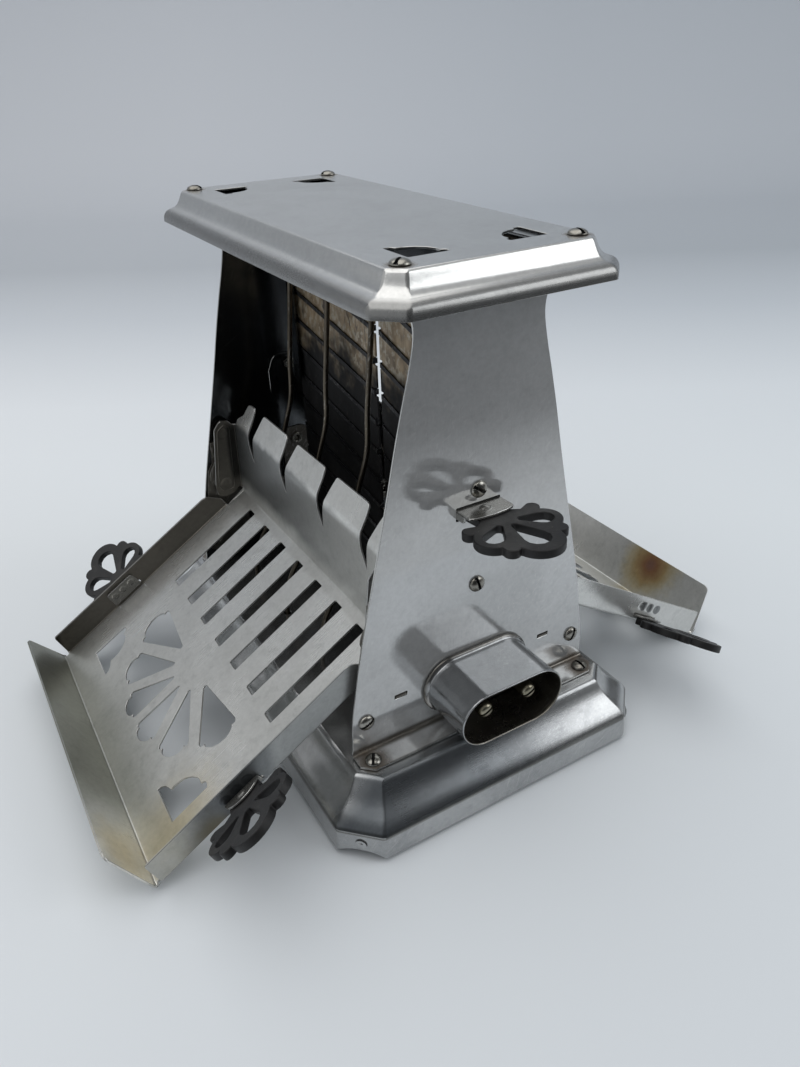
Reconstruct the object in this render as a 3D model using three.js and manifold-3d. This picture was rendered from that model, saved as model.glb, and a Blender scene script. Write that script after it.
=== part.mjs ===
// A turnover toaster: a flat heating element stands between two end plates, and a bread
// door hangs on hinge pins at each side. Each door drops open on its own, slides its slice
// down onto the panel, and turns the slice over when it is shut again.
//
// Millimetres, +Z up. The origin is the centre of the footprint, on the surface that the
// feet stand on. X runs across the two doors, and Y along the body, with the inlet at -Y.

import * as THREE from 'three';
import { mergeVertices } from 'three/addons/utils/BufferGeometryUtils.js';
import Module from 'manifold-3d';

const wasm = await Module();
wasm.setup();

// ---------------------------------------------------------------- driving dimensions

const SHEET = 0.8; // thickness of every pressed sheet
const GAP = 0.3; // clearance between two pieces that touch
const SLOPE = 31.8; // degrees that an open door panel falls away from level

const BASE = { top: 26.5, halfX: 55.7, halfY: 91, cut: 7, bottom: 2.2 };
const FOOT = { x: 52, y: 86, radius: 7, height: 2.2 };
const COVER = { top: 197.9, halfX: 35.5, halfY: 87, cut: 4, bottom: 186.5 };
const END = { face: 77.1, flange: 10.1, topFlange: 8.6, topHalf: 33.6 };
const INLET = { z: 43, halfX: 21.9, halfZ: 11, mouth: 101.3, pitch: 19, pin: 6 };
const DOOR = { halfY: 73.2, panel: 114, riser: 33.4, tab: 12.6, lip: 22.4, flange: 10.8 };
const LIP_CREASE = { x: -128.1, z: 4.2 };
const PIVOT = { x: -42.8, z: 73.1, pin: 3.2 };
const CARD = { bottom: 28.4, top: 181, half: 0.4, notch: 1.6 };
const WIRE = { radius: 1.08, inner: 17.5, outer: 52.4, top: 180 };
const SLOTS = { from: 62.8, to: 110, width: 5.8, pitch: 17.45, count: 7 };
const HANDLE = { thick: 3, foot: 0.95 };
// Where a bracket holds each door handle: along the panel, out from the flange and risen
// above the bracket's foot. The tilt and twist are in degrees.
const DOOR_HANDLES = {
  left: {
    a: { along: 43.2, out: 0.6, rise: 3.25, tilt: 29.3, twist: 3.5 },
    b: { along: 41.5, out: 0, rise: 0, tilt: 12, twist: 0 },
  },
  right: {
    a: { along: 41.5, out: 0, rise: 0, tilt: 13, twist: 0 },
    b: { along: 41.5, out: 0, rise: 0, tilt: 13, twist: 0 },
  },
};
const END_HANDLE = { z: 113.9, tilt: 2.8, twist: 5 };

const SCREW = { shank: 1.5, head: 3.1, hole: 1.8 };

const rad = THREE.MathUtils.degToRad;

// ---------------------------------------------------------------- finishes

const finish = (color, roughness, metalness) => ({ color, roughness, metalness });
const FINISH = {
  body: finish(0xb9bcbb, 0.28, 1),
  door: finish(0xb4b3a8, 0.34, 1),
  bright: finish(0xc6c8c8, 0.2, 1),
  screw: finish(0x8b8a82, 0.35, 1),
  brass: finish(0xb9ad84, 0.3, 1),
  dark: finish(0x55534e, 0.5, 1),
  ribbon: finish(0x3b3d40, 0.5, 0.9),
  fibre: finish(0x33332f, 0.75, 0),
  mica: finish(0x7d6c55, 0.7, 0),
  ceramic: finish(0x2a2826, 0.6, 0),
};

// ---------------------------------------------------------------- solids and meshes

// A closed solid from a geometry, with shared vertices merged and faces pointing out.
function solid(geometry, matrix) {
  const plain = geometry.clone();
  plain.deleteAttribute('normal');
  plain.deleteAttribute('uv');
  if (matrix) plain.applyMatrix4(matrix);
  const merged = mergeVertices(plain, 1e-4);
  const points = merged.attributes.position;
  const corner = [new THREE.Vector3(), new THREE.Vector3(), new THREE.Vector3()];
  const triangles = [];
  let volume = 0;
  for (let i = 0; i < merged.index.count; i += 3) {
    const ids = [0, 1, 2].map((k) => merged.index.getX(i + k));
    if (new Set(ids).size < 3) continue;
    ids.forEach((id, k) => corner[k].fromBufferAttribute(points, id));
    volume += corner[0].dot(corner[1].clone().cross(corner[2]));
    triangles.push(ids);
  }
  const outward = volume < 0 ? triangles.map(([a, b, c]) => [a, c, b]) : triangles;
  return new wasm.Manifold(new wasm.Mesh({
    numProp: 3,
    vertProperties: new Float32Array(points.array),
    triVerts: new Uint32Array(outward.flat()),
  }));
}

const join = (pieces) => pieces.reduce((whole, piece) => whole.add(piece));
const cut = (whole, tools) => tools.reduce((left, tool) => left.subtract(tool), whole);

function mesh(name, shape, look) {
  const { vertProperties, triVerts } = shape.getMesh();
  const geometry = new THREE.BufferGeometry();
  geometry.setAttribute('position', new THREE.BufferAttribute(vertProperties, 3));
  geometry.setIndex(new THREE.BufferAttribute(triVerts, 1));
  geometry.computeVertexNormals();
  const made = new THREE.Mesh(geometry, new THREE.MeshStandardMaterial(look));
  made.name = name;
  return made;
}

// ---------------------------------------------------------------- outlines

// A closed outline through [u, v] corners, or [u, v, r] where a corner is rounded.
function outline(corners) {
  const shape = new THREE.Shape();
  const at = corners.map(([u, v]) => new THREE.Vector2(u, v));
  const towards = (from, to, r) => {
    const step = to.clone().sub(from);
    return from.clone().add(step.setLength(Math.min(r, step.length() / 2)));
  };
  corners.forEach(([, , r = 0], i) => {
    const here = at[i];
    const start = r ? towards(here, at.at(i - 1), r) : here;
    if (i) shape.lineTo(start.x, start.y);
    else shape.moveTo(start.x, start.y);
    if (!r) return;
    const end = towards(here, at[(i + 1) % at.length], r);
    shape.quadraticCurveTo(here.x, here.y, end.x, end.y);
  });
  shape.closePath();
  return shape;
}

const box2 = (u0, u1, v0, v1, r = 0) => outline([[u0, v0, r], [u1, v0, r], [u1, v1, r], [u0, v1, r]]);

function disc(u, v, radius) {
  return new THREE.Shape().absarc(u, v, radius, 0, Math.PI * 2);
}

// A slot with round ends, halfU by halfV, longer along u.
function obround(u, v, halfU, halfV) {
  const shape = new THREE.Shape();
  const reach = halfU - halfV;
  shape.absarc(u + reach, v, halfV, -Math.PI / 2, Math.PI / 2);
  shape.absarc(u - reach, v, halfV, Math.PI / 2, Math.PI * 1.5);
  return shape;
}

// A drop: a small round end at one point and a large one at another.
function teardrop([u0, v0, r0], [u1, v1, r1]) {
  const heading = Math.atan2(v1 - v0, u1 - u0);
  const lean = Math.acos((r0 - r1) / Math.hypot(u1 - u0, v1 - v0));
  const shape = new THREE.Shape();
  shape.absarc(u1, v1, r1, heading - lean, heading + lean);
  shape.absarc(u0, v0, r0, heading + lean, heading - lean + Math.PI * 2);
  return shape;
}

// The section of a sheet bent along a path, its thickness on the right of the way it runs.
function bentSheet(path, thickness = SHEET) {
  const points = path.map(([u, v]) => new THREE.Vector2(u, v));
  const rightOf = (a, b) => {
    const along = b.clone().sub(a).normalize();
    return new THREE.Vector2(along.y, -along.x);
  };
  const far = points.map((point, i) => {
    const before = i ? rightOf(points[i - 1], point) : null;
    const after = i < points.length - 1 ? rightOf(point, points[i + 1]) : null;
    const mean = (before ?? after).clone().add(after ?? before).normalize();
    return point.clone().add(mean.multiplyScalar(thickness / mean.dot(before ?? after)));
  });
  return new THREE.Shape([...points, ...far.reverse()]);
}

// The corner points of a path that starts at a point and runs [length, degrees] legs.
function walk(start, legs) {
  const path = [start];
  for (const [length, degrees] of legs) {
    const [u, v] = path.at(-1);
    path.push([u + length * Math.cos(rad(degrees)), v + length * Math.sin(rad(degrees))]);
  }
  return path;
}

// ---------------------------------------------------------------- prisms and pressings

const frameAt = (x, y, z, at = [0, 0, 0]) => new THREE.Matrix4()
  .makeBasis(new THREE.Vector3(...x), new THREE.Vector3(...y), new THREE.Vector3(...z))
  .setPosition(...at);

// An outline extruded from one level to another: drawn in XY, in XZ, in YZ or in a frame.
function prism(shape, from, to, place = new THREE.Matrix4(), segments = 2) {
  const options = { depth: to - from, bevelEnabled: false, curveSegments: segments };
  const raised = new THREE.ExtrudeGeometry(shape, options).translate(0, 0, from);
  return solid(raised, place);
}
const alongY = (shape, y0, y1, segments) =>
  prism(shape, -y1, -y0, frameAt([1, 0, 0], [0, 0, 1], [0, -1, 0]), segments);
const alongX = (shape, x0, x1, segments) =>
  prism(shape, x0, x1, frameAt([0, 1, 0], [0, 0, 1], [1, 0, 0]), segments);
const block = (x0, x1, y0, y1, z0, z1) => prism(box2(x0, x1, y0, y1), z0, z1);

// A pressing lofted through eight-sided rings, each {halfX, halfY, cut, z}, lowest first.
function loft(rings) {
  const points = [];
  const index = [];
  for (const { halfX, halfY, cut: c, z } of rings) {
    const quarter = [[halfX, halfY - c], [halfX - c, halfY]];
    const back = quarter.map(([x, y]) => [-x, y]).reverse();
    const half = [...quarter, ...back];
    const ring = [...half, ...half.map(([x, y]) => [-x, -y])];
    ring.forEach(([x, y]) => points.push(x, y, z));
  }
  const last = (rings.length - 1) * 8;
  for (let k = 1; k < 7; k += 1) index.push(0, k + 1, k, last, last + k, last + k + 1);
  for (let ring = 0; ring < last; ring += 8) {
    for (let k = 0; k < 8; k += 1) {
      const a = ring + k;
      const b = ring + ((k + 1) % 8);
      index.push(a, b, b + 8, a, b + 8, a + 8);
    }
  }
  const geometry = new THREE.BufferGeometry();
  geometry.setAttribute('position', new THREE.Float32BufferAttribute(points, 3));
  geometry.setIndex(index);
  return solid(geometry);
}

// A lofted shell of sheet, open below.
function pressing(rings) {
  const inner = rings.map((ring) => ({
    halfX: ring.halfX - SHEET,
    halfY: ring.halfY - SHEET,
    cut: ring.cut,
    z: ring.z === rings.at(-1).z ? ring.z - SHEET : ring.z,
  }));
  inner.unshift({ ...inner[0], z: rings[0].z - 1 });
  return loft(rings).subtract(loft(inner));
}

// A round tool or shank along +Z from one level to another.
const rod = (radius, from, to, sides = 8) => solid(
  new THREE.CylinderGeometry(radius, radius, to - from, sides)
    .rotateX(Math.PI / 2)
    .translate(0, 0, (from + to) / 2),
);

const moved = (shape, x, y, z) => shape.translate([x, y, z]);
const placed = (shape, matrix) => shape.transform(matrix.elements);

// Frames with +Z pointing out of the inlet end (side -1) or the rear end (side 1).
const outOfEnd = (side, x, z, y = END.face) =>
  frameAt([side, 0, 0], [0, 0, 1], [0, -side, 0], [x, side * y, z]).multiply(
    new THREE.Matrix4().makeRotationY(Math.PI),
  );

// ---------------------------------------------------------------- base

function baseShell() {
  const rings = [
    { halfX: 68.6, halfY: 103.8, cut: 12.7, z: BASE.bottom },
    { halfX: 67.9, halfY: 102.5, cut: 12.7, z: 11.4 },
    { halfX: 63.4, halfY: 98.2, cut: 10.6, z: 17.4 },
    { halfX: 58.2, halfY: 93.4, cut: 8.2, z: 23.2 },
    { ...BASE, z: BASE.top },
  ];
  const screwHoles = flangeScrewPlaces().map(([x, y]) => moved(rod(SCREW.hole, 20, 30), x, y, 0));
  const wireHoles = wireFeet().map(([x, y]) => moved(rod(1.6, 20, 30), x, y, 0));
  return cut(pressing(rings), [...screwHoles, ...wireHoles]);
}

// A flat tray inside the band, with four pressed feet.
function basePlate() {
  const floor = FOOT.height + GAP;
  const ring = { halfX: 66.6, halfY: 101.4, cut: 12.4 };
  const sheet = loft([{ ...ring, z: floor }, { ...ring, z: floor + SHEET }]);
  const feet = [-1, 1].flatMap((i) => [-1, 1].map((j) =>
    moved(rod(FOOT.radius, 0, floor + SHEET / 2, 12), i * FOOT.x, j * FOOT.y, 0)));
  return join([sheet, ...feet]);
}

// ---------------------------------------------------------------- end plates

// The plate narrows as it rises, and flares again under the cover.
function plateOutline() {
  const right = [
    [53.4, BASE.top + GAP], [52.4, 42.6], [47.5, 70], [39.3, 105.8], [31.4, 141.9],
    [25.3, 169.3], [23.9, 175.4], [24.8, 181.5], [END.topHalf, COVER.top - SHEET - GAP],
  ];
  return new THREE.Shape([...right, ...right.map(([x, z]) => [-x, z]).reverse()]
    .map(([x, z]) => new THREE.Vector2(x, z)));
}

const faceScrewPlaces = () => [[-46.9, 40.8], [46.9, 40.8], [0, 82.8], [0, 120.5]];
const flangeScrewPlaces = () => [[-47.9, -82.9], [47.9, -82.9], [-47.9, 82.9], [47.9, 82.9]];
const coverScrewPlaces = () => [[-30.4, -81.7], [30.4, -81.7], [-30.4, 81.7], [30.4, 81.7]];

function endPlate(side) {
  const inner = END.face - SHEET;
  const low = BASE.top + GAP;
  const high = COVER.top - SHEET - GAP;
  const span = [inner, END.face].map((y) => side * y).sort((a, b) => a - b);
  // A level flange turned outwards, with its two outer corners cut off.
  const flange = (halfX, reach, z) => prism(outline([
    [-halfX, side * inner], [halfX, side * inner], [halfX, side * (END.face + reach - 4)],
    [halfX - 4, side * (END.face + reach)], [4 - halfX, side * (END.face + reach)],
    [-halfX, side * (END.face + reach - 4)],
  ]), z, z + SHEET);
  const whole = join([
    alongY(plateOutline(), ...span),
    flange(53.4, END.flange, low),
    flange(END.topHalf, END.topFlange, high - SHEET),
  ]);
  const through = ([x, z], radius) => placed(rod(radius, -6, 6), outOfEnd(side, x, z));
  const wide = [span[0] - 1, span[1] + 1];
  const tools = [
    ...faceScrewPlaces().map((place) => through(place, SCREW.hole)),
    ...flangeScrewPlaces().map(([x, y]) => moved(rod(SCREW.hole, 20, 30), x, y, 0)),
    ...coverScrewPlaces().map(([x, y]) => moved(rod(SCREW.hole, 190, 199), x, y, 0)),
    ...[-32.3, 32.3].map((x) => alongY(box2(x - 2.6, x + 2.6, 45.5, 47.3), ...wide)),
    alongY(box2(-8.9, 8.9, 110.6, 115.6), ...wide),
  ];
  if (side < 0) tools.push(alongY(obround(0, INLET.z, 20.8, 9.9), ...wide, 4));
  return cut(whole, tools);
}

// ---------------------------------------------------------------- top cover

// A pressed lid with a curled rim, and a small fan-shaped vent by each corner.
function topCover() {
  const shell = pressing([
    { halfX: 43.9, halfY: 94.7, cut: 8.3, z: COVER.bottom },
    { halfX: 43.4, halfY: 95, cut: 8, z: 189.3 },
    { halfX: 38.2, halfY: 90, cut: 5.6, z: 191.6 },
    { halfX: 36.4, halfY: 88, cut: 4.4, z: 196.4 },
    { ...COVER, z: COVER.top },
  ]);
  const vents = [-1, 1].flatMap((i) => [-1, 1].map((j) => {
    const shape = new THREE.Shape([[0, 0], [14, 0], [12.4, 6.4], [8.4, 10.4], [2, 14], [0, 14]]
      .map(([u, v]) => new THREE.Vector2(i * (24.3 - u), j * (75.8 - v))));
    return prism(shape, 190, 199);
  }));
  const holes = coverScrewPlaces().map(([x, y]) => moved(rod(SCREW.hole, 190, 199), x, y, 0));
  return cut(shell, [...vents, ...holes]);
}

// ---------------------------------------------------------------- screws

// A round-headed slotted screw standing on z = 0, with its shank below.
function screw(shank, turn) {
  const profile = [
    [0, -shank], [SCREW.shank, -shank], [SCREW.shank, 0], [SCREW.head, 0], [SCREW.head, 0.6],
    [SCREW.head - 1, 1.6], [0, 1.9],
  ];
  const lathe = new THREE.LatheGeometry(profile.map(([r, z]) => new THREE.Vector2(r, z)), 7);
  const slot = block(-4, 4, -0.4, 0.4, 0.9, 3).rotate([0, 0, turn]);
  return solid(lathe.rotateX(Math.PI / 2)).subtract(slot);
}

// ---------------------------------------------------------------- inlet

// A drawn sleeve with a bead where it meets the end plate.
function inletShroud() {
  const back = -(END.face + GAP);
  const bead = alongY(obround(0, INLET.z, INLET.halfX + 1.6, INLET.halfZ + 1.6), back - 2, back, 5);
  const sleeve = alongY(obround(0, INLET.z, INLET.halfX, INLET.halfZ), -INLET.mouth, back, 5);
  const bore = obround(0, INLET.z, INLET.halfX - SHEET, INLET.halfZ - SHEET);
  return bead.add(sleeve).subtract(alongY(bore, -INLET.mouth - 1, back + 1, 5));
}

function inletInsulator() {
  const plug = alongY(obround(0, INLET.z, 20.4, 9.5), -84, -70, 5);
  const holes = [-1, 1].map((side) => placed(
    rod(INLET.pin / 2 + GAP, -20, 20, 12),
    outOfEnd(-1, side * INLET.pitch / 2, INLET.z + 0.7),
  ));
  return cut(plug, holes);
}

// A round pin, split down its tip so that it springs in the plug.
function inletPin() {
  const pin = rod(INLET.pin / 2, -11, 21.5, 12);
  return pin.subtract(block(-0.5, 0.5, -4, 4, 14, 22).rotate([0, 0, 25]));
}

// ---------------------------------------------------------------- element

// Each card stands on edge in the plane between the doors, from one y to another.
const CARDS = { front: [-60.6, -14.2], rear: [-10.8, 60.1] };
const TURNS = { first: 46, pitch: 12.4, count: 10, width: 1.8 };

const turnLevels = () => Array.from({ length: TURNS.count }, (_, k) => TURNS.first + k * TURNS.pitch);

// A mica card with notched edges that hold the ribbon.
function micaCard([y0, y1]) {
  const card = block(-CARD.half, CARD.half, y0, y1, CARD.bottom, CARD.top);
  const notch = (y, z) => block(-2, 2, y - CARD.notch, y + CARD.notch, z - 1.8, z + 1.8);
  const notches = turnLevels().flatMap((z) => [notch(y0, z), notch(y1, z + TURNS.pitch)]);
  return cut(card, notches);
}

// One ribbon wound round a card: level behind, climbing one pitch across the front.
function heatingWinding([y0, y1]) {
  const [a, b] = [y0 + CARD.notch - 1.5 * GAP, y1 - CARD.notch + 1.5 * GAP];
  const [near, far] = [CARD.half + GAP, CARD.half + 2 * GAP];
  const half = TURNS.width / 2;
  const strip = (x0, x1, za, zb) => alongX(
    outline([[a, za - half], [b, zb - half], [b, zb + half], [a, za + half]]),
    x0,
    x1,
  );
  const wrap = [far + 0.05, half + 0.15];
  const edge = (y, z) =>
    block(-wrap[0], wrap[0], y - GAP / 2, y + GAP / 2, z - wrap[1], z + wrap[1]);
  return join(turnLevels().flatMap((z, k) => {
    const up = z + TURNS.pitch;
    const front = [strip(-far, -near, z, up), edge(b, up)];
    const back = k < TURNS.count - 1 ? [strip(near, far, up, up), edge(a, up)] : [];
    return [...front, ...back];
  }));
}

// A channel that grips the cards' edges: it opens downwards at the top, upwards below.
function elementRail(from, to, halfY, openDown) {
  const body = block(-3, 3, -halfY, halfY, from, to);
  const [z0, z1] = openDown ? [from - 1, to - SHEET] : [from + SHEET, to + 1];
  return body.subtract(block(-2.2, 2.2, -halfY - 1, halfY + 1, z0, z1));
}

// A bright upright channel over the outer edge of a card, hung under the top rail.
function elementHolder(side) {
  const edge = side < 0 ? CARDS.front[0] - GAP : CARDS.rear[1] + GAP;
  const [y0, y1] = [edge - side * 5, edge + side * (SHEET + GAP)].sort((p, q) => p - q);
  const [c0, c1] = [edge - side * 9, edge + side * GAP].sort((p, q) => p - q);
  const body = block(-3, 3, y0, y1, 118, 176.6);
  return body.subtract(block(-2.2, 2.2, c0, c1, 100, 190));
}

// A flat link between the tops of the two windings.
function windingLink() {
  const z = TURNS.first + TURNS.pitch * TURNS.count;
  const [y0, y1] = [CARDS.front[1] - CARD.notch, CARDS.rear[0] + CARD.notch];
  return block(-2, -1.3, y0 - 4, y1 + 4, z - 3, z + 3);
}

// A strip from a pin's inner end to the foot of a winding.
function leadStrip(side) {
  const reach = side < 0 ? -48 : -2;
  const path = [[side * 12, -65.2], [side * 7.4, -65.2], [side * 1.9, -57.2], [side * 1.9, reach]];
  const lead = bentSheet(side < 0 ? path : path.reverse(), 0.6);
  return prism(lead, INLET.z - 1.3, INLET.z + 2.7);
}

// ---------------------------------------------------------------- guard wires

// The side view of one wire leg, from its foot in the base up to the bend under the cover.
const WIRE_LEG = [
  [36.2, 23.6], [35.7, 34.7], [32.3, 45.5], [27.1, 54.2], [22.9, 63], [20.9, 73],
  [18.2, 84.5], [14.1, 98.9], [9.6, 113.5], [8.4, 130], [5.1, 161.4],
];
const wireFeet = () => [-1, 1].flatMap((side) => [-1, 1].flatMap((half) =>
  [WIRE.inner, WIRE.outer].map((y) => [side * WIRE_LEG[0][0], half * y])));

// A hairpin: up one leg, across under the cover and down the other.
function guardWire(side, half) {
  const leg = (y) => WIRE_LEG.map(([x, z]) => new THREE.Vector3(side * x, half * y, z));
  const bend = (y) => new THREE.Vector3(side * 4.6, half * y, WIRE.top - 3);
  const mid = (WIRE.inner + WIRE.outer) / 2;
  const crown = new THREE.Vector3(side * 4.5, half * mid, WIRE.top);
  const across = [WIRE.inner + 5, mid, WIRE.outer - 5]
    .map((y) => crown.clone().setY(half * y));
  const path = new THREE.CatmullRomCurve3([
    ...leg(WIRE.inner), bend(WIRE.inner), ...across, bend(WIRE.outer), ...leg(WIRE.outer).reverse(),
  ], false, 'centripetal');
  const section = new THREE.Shape(Array.from({ length: 6 }, (_, k) =>
    new THREE.Vector2(Math.cos(k * Math.PI / 3), Math.sin(k * Math.PI / 3)).multiplyScalar(WIRE.radius)));
  return solid(new THREE.ExtrudeGeometry(section, { steps: 34, extrudePath: path }));
}

// ---------------------------------------------------------------- hinge brackets

// A plate inside each end plate. Its two arms carry the doors' pins, a small stop on each
// arm meets the hinge strap when the door is fully open, and its tabs show at the outside.
function hingeBracket(side) {
  const right = [
    [28.5, 34], [50, 34, 3], [50.2, 44], [46.3, 72], [45.6, 76], [43, 80], [42.6, 90],
    [40.2, 90], [39.2, 76], [38.6, 66, 4], [30, 63, 4], [6.5, 63, 3], [6.5, 88, 3],
  ];
  const left = right.map(([x, z, r]) => [-x, z, r]).reverse();
  const foot = [[-28.5, 55, 3], [28.5, 55, 3]];
  const sheet = [76, 75.2].map((y) => side * y).sort((a, b) => a - b);
  const body = alongY(outline([...right, ...left, ...foot]), ...sheet);
  const lug = ([x0, x1, z0, z1], from, to) =>
    alongY(box2(x0, x1, z0, z1), ...[side * from, side * to].sort((a, b) => a - b));
  const tabs = [-32.3, 32.3].map((x) => lug([x - 2.2, x + 2.2, 46, 46.8], 75.4, 77.4));
  const stops = [-1, 1].map((half) =>
    lug([half * 42, half * 42.6, 83.5, 88].sort((a, b) => a - b), 74, 75.4));
  const pins = [-1, 1].map((half) =>
    placed(rod(PIVOT.pin / 2 + GAP, -6, 6, 12), outOfEnd(side, half * PIVOT.x, PIVOT.z)));
  const screws = faceScrewPlaces().slice(0, 3)
    .map(([x, z]) => placed(rod(SCREW.hole, -6, 6), outOfEnd(side, x, z)));
  return cut(join([body, ...tabs, ...stops]), [...pins, ...screws]);
}

// ---------------------------------------------------------------- fan handles

// A fibre fan: three petals with drop-shaped holes, four small lobes between them.
// Drawn with v pointing out from the body and its top face at 0.
function fanHandle() {
  const top = (shape, segments) => prism(shape, -HANDLE.thick, 0, undefined, segments);
  const hub = outline([[-6.4, 1.2], [6.4, 1.2], [6.4, 9, 2], [12, 12], [12, 28], [-12, 28],
    [-12, 12], [-6.4, 9, 2]]);
  const lobes = [-1, 1].flatMap((side) => [
    top(disc(side * 13.7, 12.6, 2.4), 3), top(disc(side * 11.3, 29.8, 2.5), 3),
    top(disc(side * 10.3, 20.2, 6.5), 6),
  ]);
  const fan = join([top(hub), top(disc(0, 29, 8.6), 7), ...lobes]);
  const drops = [
    teardrop([0, 18.6, 1.1], [0, 29, 4.4]),
    teardrop([-4.6, 16.6, 1.1], [-10.6, 20, 3.2]),
    teardrop([4.6, 16.6, 1.1], [10.6, 20, 3.2]),
  ];
  return cut(fan, drops.map((drop) => prism(drop, -9, 9, undefined, 3)));
}

const tilted = (degrees) => new THREE.Matrix4().makeRotationX(rad(degrees));

// A leaf over the handle's root, with the head of the rivet that holds it.
function handleLeaf(halfWidth, reach, start, bow = 3) {
  const leaf = outline([
    [-halfWidth, start], [halfWidth, start], [halfWidth, reach + 1 - bow, 2], [0, reach + 1, 6],
    [-halfWidth, reach + 1 - bow, 2],
  ]);
  const rivet = solid(new THREE.CylinderGeometry(1.3, 2.2, 0.8, 8).rotateX(Math.PI / 2)
    .translate(0, 4, GAP + SHEET + 0.3));
  return prism(leaf, GAP, GAP + SHEET).add(rivet);
}

// Frame of an end handle: x across, y outwards, z up, at the plate's outer face.
const endHandleFrame = (side) =>
  frameAt([side, 0, 0], [0, side, 0], [0, 0, 1], [0, side * END.face, END_HANDLE.z]);

// Frame of a bracket's foot on the far (side 1) or near (side -1) flange.
const doorHandleFoot = (side, seat) => panelFrame()
  .multiply(new THREE.Matrix4().makeTranslation(seat.along, side * DOOR.halfY, HANDLE.foot))
  .multiply(frameAt([side, 0, 0], [0, side, 0], [0, 0, 1]));

// From the foot to the tilted handle.
const bentUp = (seat) => new THREE.Matrix4().makeTranslation(0, seat.out, seat.rise)
  .multiply(tilted(seat.tilt));

function endHandleBracket(side) {
  const frame = endHandleFrame(side);
  const web = alongY(box2(-10, 10, 106.5, 124, 2), ...[75.2, 76].map((y) => side * y).sort((a, b) => a - b));
  const leaf = handleLeaf(8.2, 6.6, -1.5, 0.2);
  const folds = [-8.2, 7.4].map((x) => block(x, x + SHEET, -1.5, 6, -2.2, GAP + 0.4));
  const bent = placed(join([leaf, ...folds]), frame.clone().multiply(tilted(END_HANDLE.tilt)));
  const hole = placed(rod(SCREW.hole, -6, 6), outOfEnd(side, 0, 120.5));
  return web.add(bent).subtract(hole);
}

// An upright welded inside the flange. Its foot passes through a slot, and a leaf bent up
// from it lies over the handle. Where the handle stands higher, the foot is bent up first.
function doorHandleBracket(side, seat) {
  const face = GAP + SHEET;
  const half = 7.7;
  const slant = rad(seat.tilt);
  const upright = block(-half, half, -SHEET - face, -face, GAP, 7.6);
  const foot = block(-half, half, -SHEET - face, seat.out + 0.72, GAP, face);
  const start = (GAP - seat.out + face * Math.sin(slant)) / Math.cos(slant);
  const pieces = [upright, foot, placed(handleLeaf(8.5, 6.6, start), bentUp(seat))];
  if (seat.rise > 0) pieces.push(block(-half, half, GAP, seat.out + 0.4, GAP, seat.rise + 1));
  return placed(join(pieces), doorHandleFoot(side, seat));
}

// ---------------------------------------------------------------- doors

// Frame on the bread side of the left door: x up the panel from the lip, z off its face.
function panelFrame() {
  const c = Math.cos(rad(SLOPE));
  const s = Math.sin(rad(SLOPE));
  return frameAt([c, 0, s], [0, 1, 0], [-s, 0, c], [LIP_CREASE.x, 0, LIP_CREASE.z]);
}

// The bent section, lip to tab tips: the lip stands at the outer end, the riser at the hinge.
function doorSection() {
  const crease = [LIP_CREASE.x, LIP_CREASE.z];
  const lipEdge = walk(crease, [[DOOR.lip, SLOPE + 93]]).at(-1);
  return [lipEdge, ...walk(crease, [[DOOR.panel, SLOPE], [DOOR.riser, 89.1], [DOOR.tab, 64.2]])];
}

// Six petals in a half ring round a point at the foot of the slots, three to each side.
function petals() {
  const centre = 52.2;
  const polar = (r, degrees, side) => [
    centre - r * Math.cos(rad(degrees)), side * r * Math.sin(rad(degrees)),
  ];
  return [-1, 1].flatMap((side) => [0, 1, 2].map((k) => {
    const middle = 16 + 31.2 * k;
    const [root, end] = [12 + 1.4 * k, 34 + 3.2 * k];
    return outline([
      [...polar(root, middle - 4, side), 1], [...polar(root, middle + 4, side), 1],
      [...polar(end, middle + 11, side), 1.5], [...polar(end + 3.4, middle + 6, side)],
      [...polar(end + 3.4, middle - 6, side)], [...polar(end, middle - 11, side), 1.5],
    ]);
  }));
}

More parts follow.
